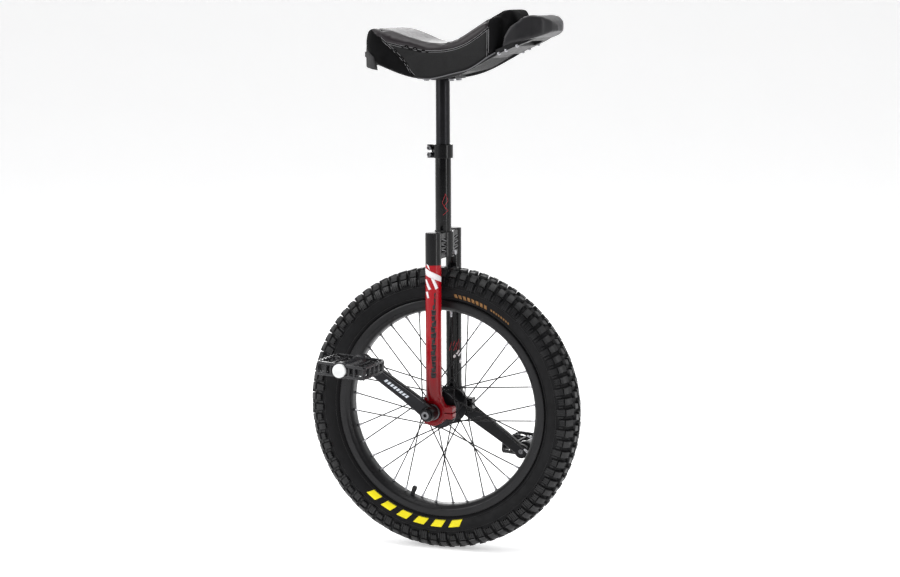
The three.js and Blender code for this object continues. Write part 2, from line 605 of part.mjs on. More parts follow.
function addSeat(group) {
  const seat = new THREE.Group();
  seat.position.z = AXLE_Z;
  group.add(seat);

  const post = upright(sleeve(POST_RADIUS - POST_WALL, POST_RADIUS, POST_BOTTOM, POST_TOP, 24));
  place(seat, 'seatpost', post, BLACK_PAINT);

  const tall = [560, 760];
  const wide = 100;
  const seatPlan = (inset, edge) => planCut(bothSides(edge, inset), tall[0], tall[1]);
  const bumperInner = seatPlan(BUMPER_THICKNESS, SEAT_EDGE);
  const bumper = cut(common(seatPlan(0, SEAT_EDGE), sideCut(bumperSide(0), -wide, wide)), [bumperInner]);
  place(seat, 'rear_bumper', bumper, BLACK_PLASTIC);

  const bumperRoom = cut(sideCut(bumperSide(3 * GAP), -wide, wide),
    [seatPlan(BUMPER_THICKNESS + 3 * GAP, SEAT_EDGE)]);
  const coverPlan = seatPlan(0, [...SEAT_EDGE, ...NOSE_EDGE]);
  const cushion = common(sideCut(cushionSide(), -wide, wide), coverPlan);
  place(seat, 'saddle_cushion', cut(cushion, [bumperRoom]), CUSHION_COVER);

  const boltSpots = [[-24, -18], [-24, 18], [24, -18], [24, 18]];
  const plateTop = heightAt(HEM, 0) + BASE_HEIGHT - BASE_SKIN - GAP;
  const boltHoles = (radius) => boltSpots.map(([x, y]) =>
    upright(rod(radius, plateTop - 20, plateTop + 3, 12)).translate(x, y, 0));
  const baseEdge = [...SEAT_EDGE.slice(0, -1), [BASE_FRONT - GAP, 63]];
  const shell = common(sideCut(hemBand(0, BASE_HEIGHT, -123, BASE_FRONT - GAP), -wide, wide),
    seatPlan(2, baseEdge));
  const pocket = common(sideCut(hemBand(-1, BASE_HEIGHT - BASE_SKIN, -100, 110), -wide, wide),
    seatPlan(8, baseEdge));
  place(seat, 'saddle_base', cut(shell, [pocket, bumperRoom, ...boltHoles(3.2)]), BLACK_PLASTIC);

  const plate = box(-34, 34, -26, 26, plateTop - PLATE_HEIGHT, plateTop);
  place(seat, 'saddle_plate', cut(plate, boltHoles(3.2)), BLACK_METAL);
  for (const [i, [x, y]] of boltSpots.entries()) {
    const seatFace = plateTop - PLATE_HEIGHT - GAP;
    const outline = [[0, seatFace - 4], [5, seatFace - 4], [5, seatFace], [2.8, seatFace],
      [2.8, plateTop + 2], [0, plateTop + 2]];
    place(seat, `saddle_bolt_${i + 1}`, upright(turned(outline, 12, false)), STEEL).position.set(x, y, 0);
  }

  const plateCut = handleOutline(true);
  const bracket = common(sideCut(hemBand(0, BASE_HEIGHT, BASE_FRONT, 215.5), -wide, wide),
    planCut(plateCut.outline, tall[0], tall[1]));
  place(seat, 'handle_bracket', cut(bracket, [planCut(plateCut.slot, tall[0], tall[1])]), BLACK_PLASTIC);
  const gripCut = handleOutline(false);
  const grip = common(sideCut(gripSide(), -wide, wide), planCut(gripCut.outline, tall[0], tall[1]));
  place(seat, 'handle_grip', cut(grip, [planCut(gripCut.slot, tall[0], tall[1])]), GRIP_COVER);
}

const group = new THREE.Group();
addFrame(group);
addWheel(group);
addSeat(group);
export default group;
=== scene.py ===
import math

import bmesh
import bpy
from mathutils import Matrix, Vector
from mathutils.bvhtree import BVHTree
from mathutils.kdtree import KDTree


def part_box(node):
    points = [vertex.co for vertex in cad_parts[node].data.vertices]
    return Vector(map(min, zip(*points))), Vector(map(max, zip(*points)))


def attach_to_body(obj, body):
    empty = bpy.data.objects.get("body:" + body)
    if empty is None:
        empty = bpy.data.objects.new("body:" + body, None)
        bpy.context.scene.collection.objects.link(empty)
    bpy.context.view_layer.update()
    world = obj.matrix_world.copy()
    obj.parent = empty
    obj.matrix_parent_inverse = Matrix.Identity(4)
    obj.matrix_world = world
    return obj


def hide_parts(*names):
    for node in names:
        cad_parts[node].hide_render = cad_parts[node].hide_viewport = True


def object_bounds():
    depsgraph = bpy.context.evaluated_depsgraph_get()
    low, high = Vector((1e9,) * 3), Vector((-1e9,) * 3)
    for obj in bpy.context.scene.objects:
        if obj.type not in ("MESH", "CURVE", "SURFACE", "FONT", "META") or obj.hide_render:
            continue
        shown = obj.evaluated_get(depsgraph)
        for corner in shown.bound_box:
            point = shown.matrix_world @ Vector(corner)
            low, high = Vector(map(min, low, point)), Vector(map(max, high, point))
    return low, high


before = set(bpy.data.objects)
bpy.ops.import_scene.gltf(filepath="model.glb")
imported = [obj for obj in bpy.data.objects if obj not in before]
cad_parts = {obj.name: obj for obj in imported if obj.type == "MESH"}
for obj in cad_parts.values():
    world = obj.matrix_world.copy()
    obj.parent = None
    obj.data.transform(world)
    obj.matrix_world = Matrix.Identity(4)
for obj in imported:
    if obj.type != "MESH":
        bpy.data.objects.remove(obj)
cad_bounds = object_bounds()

MM = 0.001


def mid(node):
    low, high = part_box(node)
    return (low + high) / 2 / MM


def low(node):
    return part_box(node)[0] / MM


def high(node):
    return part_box(node)[1] / MM


def half_size(node):
    return (high(node) - low(node)) / 2


def span(node):
    """How far from the wheel's middle plane the node starts and ends."""
    return sorted((abs(low(node).y), abs(high(node).y)))


AXLE_Z = mid("rim").z
AXLE = Matrix.Translation((0, 0, AXLE_Z))
LEG_Y = mid("leg_left").y
LEG_RADIUS = half_size("leg_left").x
LEG_TOP = high("leg_cap_left").z
CROWN_LOW = low("crown").z
CROWN_HIGH = high("crown").z
CROWN_BEAM_HALF = 12.0
TUBE_RADIUS = half_size("seat_tube").x
TUBE_TOP = high("seat_tube").z
CLAMP_LOW = low("seat_clamp").z
CLAMP_HIGH = high("seat_clamp").z
RIM_RADIUS = high("rim").z - AXLE_Z
PEDAL_AXIS = mid("pedal_end_cap_right")
CRANK_LENGTH = math.hypot(PEDAL_AXIS.x, PEDAL_AXIS.z - AXLE_Z)
CRANK_ANGLE = math.atan2(PEDAL_AXIS.z - AXLE_Z, PEDAL_AXIS.x)
PEDAL_TILT = math.radians(4.5)
SIDES = {"right": -1, "left": 1}


# Materials

class Paint:
    """A node material on one Principled shader."""

    def __init__(self, name, color, roughness, metallic=0.0, **sockets):
        self.material = bpy.data.materials.new(name)
        self.material.use_nodes = True
        self.nodes = self.material.node_tree.nodes
        self.links = self.material.node_tree.links
        self.shader = self.nodes["Principled BSDF"]
        self.shader.inputs["Base Color"].default_value = (*color, 1)
        self.shader.inputs["Roughness"].default_value = roughness
        self.shader.inputs["Metallic"].default_value = metallic
        for socket, value in sockets.items():
            self.shader.inputs[socket.replace("_", " ")].default_value = value
        self.color = color
        self.roughness = roughness
        self.where = self.nodes.new("ShaderNodeTexCoord").outputs["Object"]
        self.height = None

    def node(self, kind, **inputs):
        """A new node, whose inputs are given as values or as other nodes' outputs."""
        made = self.nodes.new("ShaderNode" + kind)
        for name, value in inputs.items():
            socket = made.inputs[name.replace("_", " ")]
            if isinstance(value, bpy.types.NodeSocket):
                self.links.new(value, socket)
            else:
                socket.default_value = value
        return made

    def noise(self, scale, detail=4.0):
        return self.node("TexNoise", Vector=self.where, Scale=scale, Detail=detail).outputs["Fac"]

    def cells(self, scale):
        return self.node("TexVoronoi", Vector=self.where, Scale=scale).outputs["Distance"]

    def weave(self, scale):
        """Crossed sine bands over X, Y and Z, which read as a fine weave on any side."""
        split = self.node("SeparateXYZ", Vector=self.where)
        waves = [self.math("SINE", self.math("MULTIPLY", split.outputs[axis], scale)) for axis in "XYZ"]
        pair = self.math("MULTIPLY", waves[0], waves[2])
        return self.math("ADD", pair, self.math("MULTIPLY", waves[1], 0.5))

    def math(self, operation, first, second=0.0):
        node = self.nodes.new("ShaderNodeMath")
        node.operation = operation
        for socket, value in zip(node.inputs, (first, second)):
            if isinstance(value, (int, float)):
                socket.default_value = value
            else:
                self.links.new(value, socket)
        return node.outputs[0]

    def spread(self, fac, from_low, from_high, to_low, to_high):
        return self.node("MapRange", Value=fac, From_Min=from_low, From_Max=from_high,
                         To_Min=to_low, To_Max=to_high).outputs["Result"]

    def vary_color(self, fac, dark, light):
        """The base colour goes from dark to light times itself."""
        ramp = self.node("ValToRGB", Fac=fac)
        for stop, position, factor in zip(ramp.color_ramp.elements, (0.3, 0.7), (dark, light)):
            stop.position = position
            stop.color = (*[min(1, c * factor) for c in self.color], 1)
        self.links.new(ramp.outputs["Color"], self.shader.inputs["Base Color"])
        return self

    def vary_roughness(self, fac, change):
        value = self.spread(fac, 0.3, 0.7, self.roughness - change, self.roughness + change)
        self.links.new(value, self.shader.inputs["Roughness"])
        return self

    def bump(self, fac, depth, strength=1.0):
        node = self.node("Bump", Distance=depth * MM, Strength=strength, Height=fac)
        if self.height is not None:
            self.links.new(self.height, node.inputs["Normal"])
        self.height = node.outputs["Normal"]
        self.links.new(self.height, self.shader.inputs["Normal"])
        return self


def painted(name, color, roughness, coat, shaded_below=None):
    """Gloss paint. With a height in metres last, the colour darkens below that height as painted shade."""
    paint = Paint(name, color, roughness, Specular_IOR_Level=0.2, Coat_Weight=coat, Coat_Roughness=0.08)
    shade = paint.noise(14)
    dark = 0.9
    # Painted shade: the colour darkens towards the bottom, below the given height.
    if shaded_below:
        height = paint.node("SeparateXYZ", Vector=paint.where).outputs["Z"]
        rise = paint.spread(height, shaded_below, shaded_below + 0.10, 0.25, 0.66)
        shade = paint.math("ADD", rise, paint.math("MULTIPLY", shade, 0.08))
        dark = 0.55
    paint.vary_color(shade, dark, 1.1)
    paint.vary_roughness(paint.noise(60), 0.05)
    return paint.bump(paint.noise(900, 2), 0.02, 0.4).material


def metal(name, color, roughness, metallic=1.0):
    paint = Paint(name, color, roughness, metallic, Specular_IOR_Level=0.4)
    paint.vary_color(paint.noise(40, 3), 0.88, 1.1)
    paint.vary_roughness(paint.noise(220, 4), 0.07)
    return paint.bump(paint.noise(1400, 3), 0.02, 0.3).material


def plastic(name, color, roughness, grain=0.05):
    paint = Paint(name, color, roughness, Specular_IOR_Level=0.35)
    paint.vary_color(paint.noise(30), 0.85, 1.15)
    paint.vary_roughness(paint.noise(120), 0.08)
    return paint.bump(paint.cells(1500), grain, 0.5).material


def rubber(name, color, roughness, shine=0.15):
    paint = Paint(name, color, roughness, Specular_IOR_Level=shine)
    paint.vary_color(paint.noise(18, 6), 0.75, 1.3)
    paint.vary_roughness(paint.noise(90), 0.08)
    paint.bump(paint.noise(160, 5), 0.25, 0.35)
    return paint.bump(paint.noise(1600, 2), 0.04, 0.5).material


def leather(name, color, roughness, wrinkle):
    paint = Paint(name, color, roughness, Specular_IOR_Level=0.3)
    paint.vary_color(paint.noise(22), 0.85, 1.2)
    paint.vary_roughness(paint.noise(160), 0.06)
    paint.bump(paint.noise(26, 3), wrinkle, 0.5)
    return paint.bump(paint.cells(1100), 0.07, 0.45).material


def woven(name, color):
    paint = Paint(name, color, 0.8, Specular_IOR_Level=0.3, Sheen_Weight=0.05, Sheen_Roughness=0.5)
    paint.vary_color(paint.noise(400, 3), 0.8, 1.25)
    paint.bump(paint.noise(20, 3), 0.5, 0.4)
    return paint.bump(paint.weave(5200), 0.12, 0.6).material


def suede(name, color):
    paint = Paint(name, color, 0.95, Specular_IOR_Level=0.12, Sheen_Weight=0.03, Sheen_Roughness=0.4)
    paint.vary_color(paint.noise(45, 5), 0.6, 1.6)
    paint.bump(paint.noise(30, 3), 0.5, 0.4)
    return paint.bump(paint.noise(1300, 4), 0.15, 0.7).material


BLACK_PAINT = painted("black_frame_paint", (0.003, 0.003, 0.0035), 0.24, 0.14)
# The red paint darkens towards the bottom of the near leg and over its bearing holder, as painted shade.
RED_PAINT = painted("red_frame_paint", (0.29, 0.001, 0.006), 0.24, 0.16, 0.30)
BLACK_METAL = metal("black_anodised_metal", (0.014, 0.014, 0.016), 0.34, 0.7)
CRANK_FACE = metal("crank_satin_face", (0.013, 0.013, 0.015), 0.36, 0.7)
# The crank's sides and its boss take a darker copy of the crank's black, as painted shade.
CRANK_SIDE_SHADE = metal("crank_side_painted_shade", (0.007, 0.007, 0.008), 0.28, 0.7)
RIM_METAL = metal("rim_black_metal", (0.009, 0.009, 0.010), 0.34, 0.4)
STEEL = metal("bright_steel", (0.42, 0.42, 0.44), 0.30)
DARK_STEEL = metal("dark_spoke_steel", (0.009, 0.009, 0.010), 0.4, 0.6)
GREY_STEEL = metal("grey_bolt_steel", (0.17, 0.17, 0.18), 0.34)
TYRE_RUBBER = rubber("tyre_rubber", (0.0052, 0.0052, 0.0058), 0.60)
TREAD_RUBBER = rubber("tread_rubber", (0.0070, 0.0070, 0.0077), 0.42, 0.34)
TUBE_RUBBER = rubber("tube_rubber", (0.01, 0.01, 0.01), 0.6)
BLACK_PLASTIC = plastic("black_moulded_plastic", (0.0045, 0.0045, 0.005), 0.45)
BUMPER_PLASTIC = plastic("bumper_plastic", (0.013, 0.013, 0.014), 0.5, 0.12)
PEDAL_PLASTIC = plastic("pedal_plastic", (0.022, 0.022, 0.024), 0.24, 0.1)
WHITE_PLASTIC = plastic("white_cap_plastic", (0.80, 0.81, 0.81), 0.35, 0.02)
TOP_LEATHER = leather("seat_top_leather", (0.014, 0.011, 0.013), 0.42, 0.35)
GRIP_LEATHER = leather("grip_leather", (0.012, 0.0115, 0.013), 0.38, 1.2)
SIDE_WEAVE = woven("seat_side_weave", (0.0065, 0.0065, 0.007))
BLACK_SUEDE = suede("seat_black_suede", (0.0025, 0.0025, 0.0028))
THREAD = plastic("seam_thread", (0.26, 0.26, 0.265), 0.6, 0.02)
PIPING = plastic("piping_grey", (0.10, 0.10, 0.105), 0.5, 0.02)
WHITE_FILM = plastic("white_film", (0.80, 0.76, 0.78), 0.4, 0.01)
BLACK_FILM = plastic("black_film", (0.010, 0.008, 0.010), 0.4, 0.01)
RED_FILM = plastic("red_film", (0.33, 0.006, 0.014), 0.4, 0.01)
SILVER_FILM = plastic("silver_film", (0.66, 0.70, 0.76), 0.4, 0.01)
YELLOW_INK = plastic("yellow_ink", (0.90, 0.76, 0.006), 0.6, 0.03)
GOLD_INK = plastic("gold_ink", (0.22, 0.11, 0.035), 0.6, 0.03)


# Mesh building

def new_object(name, data):
    made = bpy.data.objects.new(name, data)
    bpy.context.scene.collection.objects.link(made)
    return made


def attach(made, body, slot, *nodes):
    """The object rides on a body and stands for the nodes; slot is not used."""
    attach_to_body(made, body)
    if nodes:
        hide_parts(*nodes)
    return made


def modify(made, kind, **settings):
    modifier = made.modifiers.new(kind.lower(), kind)
    for name, value in settings.items():
        setattr(modifier, name, value)
    return modifier


def piece(name, vertices, faces, materials, body, nodes=(), slot=None, place=None, sharp=35, face_slots=None):
    """A mesh piece from millimetre vertices, riding on a body and standing for its nodes."""
    materials = materials if isinstance(materials, (list, tuple)) else [materials]
    mesh = bpy.data.meshes.new(name)
    mesh.from_pydata([Vector(v) * MM for v in vertices], [], faces)
    if place is not None:
        mesh.transform(Matrix.Scale(MM, 4) @ place @ Matrix.Scale(1 / MM, 4))
    for material in materials:
        mesh.materials.append(material)
    if face_slots is not None:
        mesh.polygons.foreach_set("material_index", face_slots)
    tidy = bmesh.new()
    tidy.from_mesh(mesh)
    bmesh.ops.remove_doubles(tidy, verts=tidy.verts, dist=1e-6)
    bmesh.ops.recalc_face_normals(tidy, faces=tidy.faces)
    tidy.to_mesh(mesh)
    tidy.free()
    mesh.shade_smooth()
    mesh.set_sharp_from_angle(angle=math.radians(sharp))
    return attach(new_object(name, mesh), body, slot, *nodes)


def bevel(made, width, segments=2, angle=35):
    modify(made, "BEVEL", width=width * MM, segments=segments, limit_method="ANGLE",
           angle_limit=math.radians(angle), harden_normals=False)


def ring_faces(rings, count, caps=True):
    """Quads between successive rings of count vertices each."""
    faces = []
    for a in range(0, (rings - 1) * count, count):
        b = a + count
        faces += [(a + i, a + (i + 1) % count, b + (i + 1) % count, b + i) for i in range(count)]
    if caps:
        faces.append(tuple(range(count - 1, -1, -1)))
        faces.append(tuple((rings - 1) * count + i for i in range(count)))
    return faces


def rounded(outline, radius, closed=True):
    """The outline with each corner replaced by a small arc; a corner may bring its own radius."""
    steps = 3
    points = [Vector(p[:2]) for p in outline]
    radii = [p[2] if len(p) > 2 else radius for p in outline]
    out = []
    for i, point in enumerate(points):
        at_end = not closed and i in (0, len(points) - 1)
        before, after = points[i - 1] - point, points[(i + 1) % len(points)] - point
        reach = min(radii[i], before.length * 0.45, after.length * 0.45)
        if at_end or reach < 1e-4:
            out.append(tuple(point))
            continue
        a, b = point + before.normalized() * reach, point + after.normalized() * reach
        for k in range(steps + 1):
            t = k / steps
            out.append(tuple(a * (1 - t) ** 2 + point * 2 * t * (1 - t) + b * t ** 2))
    return out


def circle(radius, segments):
    turns = (2 * math.pi * k / segments for k in range(segments))
    return [(radius * math.cos(a), radius * math.sin(a)) for a in turns]


def lathe_mesh(outline, segments, closed):
    """Vertices and faces of an outline of [radius, y] turned about the Y axis."""
    vertices = [(r * c, y, r * s) for c, s in circle(1, segments) for r, y in outline]
    count = len(outline)
    faces = []
    for k in range(segments):
        a, b = k * count, ((k + 1) % segments) * count
        for i in range(count if closed else count - 1):
            j = (i + 1) % count
            faces.append((a + i, a + j, b + j, b + i))
    return vertices, faces


UPRIGHT = Matrix.Rotation(math.pi / 2, 4, "X")


def turned(outline, radius, segments):
    """A turned solid with soft corners. An outline that starts on the axis also ends there."""
    closed = outline[0][0] > 0
    return lathe_mesh(rounded(outline, radius, closed), segments, closed)


def lathe(name, outline, material, body, nodes=(), slot=None, place=AXLE, radius=0.6, segments=96):
    piece(name, *turned(outline, radius, segments), material, body, nodes, slot, place, 40)


def rod_mesh(start, end, radius, segments):
    start, end = Vector(start), Vector(end)
    turn = (end - start).to_track_quat("Z", "Y")
    ring = [turn @ Vector((x, y, 0)) for x, y in circle(radius, segments)]
    return [centre + spot for centre in (start, end) for spot in ring], ring_faces(2, segments)


class Batch:
    """Collects several simple solids into one piece."""

    def __init__(self):
        self.vertices = []
        self.faces = []

    def add(self, vertices, faces, place=None):
        offset = len(self.vertices)
        self.vertices += [Vector(v) if place is None else place @ Vector(v) for v in vertices]
        self.faces += [tuple(offset + i for i in face) for face in faces]
        return self

    def rod(self, start, end, radius, segments=10):
        return self.add(*rod_mesh(start, end, radius, segments))

    def lathe(self, outline, place, segments):
        return self.add(*turned(outline, 0.3, segments), place)

    def box(self, low_corner, high_corner):
        (x0, y0, z0), (x1, y1, z1) = low_corner, high_corner
        vertices = [(x, y, z) for z in (z0, z1) for x, y in ((x0, y0), (x1, y0), (x1, y1), (x0, y1))]
        return self.add(vertices, ring_faces(2, 4))

    def prism(self, outline, y0, y1):
        """A side view outline in X and Z, thick along Y."""
        return self.add([(x, y, z) for y in (y0, y1) for x, z in outline], ring_faces(2, len(outline)))

    def make(self, name, material, body, nodes=(), slot=None, place=None, sharp=35):
        return piece(name, self.vertices, self.faces, material, body, nodes, slot, place, sharp)


def arc(centre, radius, start, end, steps):
    angles = [math.radians(start + (end - start) * k / steps) for k in range(steps + 1)]
    return [(centre[0] + radius * math.cos(a), centre[1] + radius * math.sin(a)) for a in angles]


def through(points, x):
    """The height at x of a smooth curve through the points, which run along x."""
    if x <= points[0][0]:
        return points[0][1]
    if x >= points[-1][0]:
        return points[-1][1]
    i = max(k for k in range(len(points) - 1) if points[k][0] <= x)
    (x0, y0), (x1, y1) = points[i], points[i + 1]

    def slope(k):
        a, b = points[max(0, k - 1)], points[min(len(points) - 1, k + 1)]
        return (b[1] - a[1]) / (b[0] - a[0])
    t = (x - x0) / (x1 - x0)
    width = x1 - x0
    rise = y0 * (2 * t ** 3 - 3 * t ** 2 + 1) + y1 * (3 * t ** 2 - 2 * t ** 3)
    return rise + width * (slope(i) * (t ** 3 - 2 * t ** 2 + t) + slope(i + 1) * (t ** 3 - t ** 2))


def smoothstep(a, b, x):
    t = max(0.0, min(1.0, (x - a) / (b - a)))
    return t * t * (3 - 2 * t)


def film(name, shapes, onto, material, body, slot=None, step=2.0, thickness=0.12):
    """Thin printed shapes, given flat and laid onto a surface by the function onto(a, b)."""
    sheet = bmesh.new()
    for shape in shapes:
        sheet.faces.new([sheet.verts.new((a, b, 0)) for a, b in shape])
    spread = [v.co.x for v in sheet.verts]
    cuts = int((max(spread) - min(spread)) / step)
    for k in range(1, cuts + 1):
        geometry = sheet.verts[:] + sheet.edges[:] + sheet.faces[:]
        plane = (min(spread) + k * step, 0, 0)
        bmesh.ops.bisect_plane(sheet, geom=geometry, plane_co=plane, plane_no=(1, 0, 0))
    sheet.verts.index_update()
    vertices = [onto(v.co.x, v.co.y) for v in sheet.verts]
    faces = [tuple(v.index for v in face.verts) for face in sheet.faces]
    sheet.free()
    made = piece(name, vertices, faces, material, body, (), slot)
    modify(made, "SOLIDIFY", thickness=thickness * MM, offset=0)


def mirrored(half):
    """A turned outline and its mirror image, joined into one."""
    return [(r, -y, c) for r, y, c in half] + [(r, y, c) for r, y, c in reversed(half)]


def sided(outline, sign):
    """A turned outline moved to the side of the wheel that sign gives."""
    return [(r, sign * y, *corner) for r, y, *corner in outline]


def finish_node(node, material):
    """A CAD node that stays as it is gets its finished material."""
    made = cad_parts[node]
    made.data.materials.clear()
    made.data.materials.append(material)
    made.data.shade_smooth()
    made.data.set_sharp_from_angle(angle=math.radians(25))


# Camera, light and floor

CAMERA_LENS = 88.98
CAMERA_PLACE_M = (1.4634, -3.7157, 0.9867)
CAMERA_HEADING, CAMERA_DOWN, CAMERA_ROLL = (math.radians(a) for a in (21.332, 7.298, -0.2298))
WORLD_FRONT = (0.36, -0.93, 0.12)
WORLD_DIMMING = {"From Min": -0.1, "From Max": 0.75, "To Min": 0.95, "To Max": 0.12}
LIGHT_TARGET_M = (0, 0, 0.45)
# Each light: its place and size in metres, and its power in watts
LIGHTS = {
    "left_softbox": ((-2.2, -2.4, 2.0), (1.4, 2.2), 58),
    "right_strip": ((2.9, -1.1, 1.2), (0.5, 2.4), 26),
    "top_softbox": ((0.2, -0.3, 3.0), (2.4, 2.0), 45),
    "back_strip": ((-1.2, 2.6, 1.6), (0.8, 2.2), 20),
}
FLOOR_FRONT, FLOOR_BACK, FLOOR_HALF_WIDTH, SWEEP_RADIUS, WALL_TOP = -6, 5, 14, 3, 9


def add_camera():
    data = bpy.data.cameras.new("camera")
    data.lens = CAMERA_LENS
    data.sensor_width = 36
    data.clip_end = 50
    camera = new_object("camera", data)
    turn = Matrix.Rotation(CAMERA_HEADING, 4, "Z") @ Matrix.Rotation(math.pi / 2 - CAMERA_DOWN, 4, "X")
    camera.matrix_world = Matrix.Translation(CAMERA_PLACE_M) @ turn @ Matrix.Rotation(CAMERA_ROLL, 4, "Z")
    bpy.context.scene.camera = camera


def add_light(name, spot, size, power):
    data = bpy.data.lights.new(name, "AREA")
    data.shape = "RECTANGLE"
    data.size, data.size_y = size
    data.energy = power
    light = new_object(name, data)
    light.location = spot
    light.rotation_euler = (Vector(LIGHT_TARGET_M) - Vector(spot)).to_track_quat("-Z", "Y").to_euler()


def add_studio():
    world = bpy.data.worlds.new("studio")
    world.use_nodes = True
    nodes, links = world.node_tree.nodes, world.node_tree.links
    background = nodes["Background"]
    background.inputs["Color"].default_value = (1, 1, 1, 1)
    front = nodes.new("ShaderNodeVectorMath")
    front.operation = "DOT_PRODUCT"
    front.inputs[1].default_value = WORLD_FRONT
    links.new(nodes.new("ShaderNodeTexCoord").outputs["Generated"], front.inputs[0])
    dimmed = nodes.new("ShaderNodeMapRange")
    for name, value in WORLD_DIMMING.items():
        dimmed.inputs[name].default_value = value
    links.new(front.outputs["Value"], dimmed.inputs["Value"])
    links.new(dimmed.outputs["Result"], background.inputs["Strength"])
    bpy.context.scene.world = world
    bpy.context.scene.view_settings.view_transform = "Standard"
    for name, settings in LIGHTS.items():
        add_light(name, *settings)

    floor_paint = Paint("floor_white", (0.93, 0.93, 0.935), 0.85, Emission_Color=(1, 1, 1, 1),
                        Emission_Strength=0.42)
    floor_paint.vary_color(floor_paint.noise(3), 0.99, 1.0)
    mesh = bpy.data.meshes.new("floor")
    bends = [(SWEEP_RADIUS * math.sin(t * math.pi / 16), SWEEP_RADIUS * (1 - math.cos(t * math.pi / 16)))
             for t in range(1, 9)]
    sweep = [(FLOOR_FRONT, 0), (FLOOR_BACK, 0)] + [(FLOOR_BACK + along, up) for along, up in bends]
    sweep.append((FLOOR_BACK + SWEEP_RADIUS, WALL_TOP))
    turn = Matrix.Rotation(math.radians(21.3), 4, "Z")
    corners = [turn @ Vector((side * FLOOR_HALF_WIDTH, along, up)) for along, up in sweep for side in (-1, 1)]
    strips = [(2 * k, 2 * k + 1, 2 * k + 3, 2 * k + 2) for k in range(len(sweep) - 1)]
    mesh.from_pydata(corners, [], strips)
    mesh.shade_smooth()
    mesh.materials.append(floor_paint.material)
    floor = new_object("floor", mesh)
    floor.location.z = cad_bounds[0][2] - 0.0005


# Tyre

CARCASS = [(0, 251.2), (8, 251.0), (15, 250.2), (21, 247.6), (25.6, 243.0), (28.4, 237.0), (29.6, 231.0),
           (29.6, 224.6), (28.8, 218.0), (27.0, 212.0), (24.2, 206.5), (21.0, 202.8), (18.2, 200.6),
           (17.8, 193.0)]
TREAD_ROWS = 80
WHEEL_SEGMENTS = 192
CENTRE_KNOB_HEIGHT = 6.8
EDGE_KNOB_HEIGHT = 6.0
SIDE_LUG_HEIGHT = 3.4
LUG_RIB_HEIGHT = 4.3
SMALL_RIB_HEIGHT = 1.2
SIDE_LINE_RADIUS = 224.4


def carcass_walk():
    """Points [y, radius] every millimetre along the outside of the tyre, from crown to bead."""
    dense = []
    for i in range(len(CARCASS) - 1):
        p0, p1 = CARCASS[max(0, i - 1)], CARCASS[i]
        p2, p3 = CARCASS[i + 1], CARCASS[min(len(CARCASS) - 1, i + 2)]
        for k in range(12):
            t = k / 12
            dense.append(tuple(0.5 * (2 * b + (c - a) * t + (2 * a - 5 * b + 4 * c - d) * t * t
                                      + (3 * b - a - 3 * c + d) * t ** 3)
                               for a, b, c, d in zip(p0, p1, p2, p3)))
    dense.append(CARCASS[-1])
    walk, travelled, next_stop = [dense[0]], 0.0, 1.0
    for a, b in zip(dense, dense[1:]):
        gap = math.dist(a, b)
        while gap > 0 and travelled + gap >= next_stop:
            t = (next_stop - travelled) / gap
            walk.append((a[0] + (b[0] - a[0]) * t, a[1] + (b[1] - a[1]) * t))
            next_stop += 1.0
        travelled += gap
    return walk


WALK = carcass_walk()


def on_carcass(s, lift):
    """[y, radius] at arc distance s from the crown's middle, raised by lift. Negative s is -Y."""
    place = min(abs(s), len(WALK) - 2)
    i = int(place)
    t = place - i
    y = WALK[i][0] * (1 - t) + WALK[i + 1][0] * t
    r = WALK[i][1] * (1 - t) + WALK[i + 1][1] * t
    along = Vector((WALK[i + 1][0] - WALK[max(0, i - 1)][0], WALK[i + 1][1] - WALK[max(0, i - 1)][1]))
    normal = Vector((-along.y, along.x)).normalized()
    y, r = y + normal.x * lift, r + normal.y * lift
    return (y if s >= 0 else -y), r


def tread_block(batch, angle, s0, s1, length, height, skew=0.0, taper=0.82):
    """A rubber block that follows the carcass from s0 to s1 and stands up by height."""
    stations = 4
    rings = []
    for lift, shrink in ((-1.2, 1.0), (height * 0.82, 0.93), (height, taper)):
        middle = (s0 + s1) / 2
        front, back = [], []
        for k in range(stations + 1):
            s = middle + (s0 + (s1 - s0) * k / stations - middle) * (1 if lift < 0 else (shrink + 1) / 2)
            y, radius = on_carcass(s, lift)
            shift = skew * (s - middle) / radius
            half = length * shrink / 2 / radius
            for side, sign in ((front, 1), (back, -1)):
                turn = angle + shift + sign * half
                side.append((radius * math.cos(turn), y, radius * math.sin(turn)))
        rings += front + back[::-1]
    count = 2 * (stations + 1)
    faces = ring_faces(3, count, caps=False)
    top = 2 * count
    faces += [(top + k, top + k + 1, top + count - 2 - k, top + count - 1 - k) for k in range(stations)]
    batch.add(rings, faces)


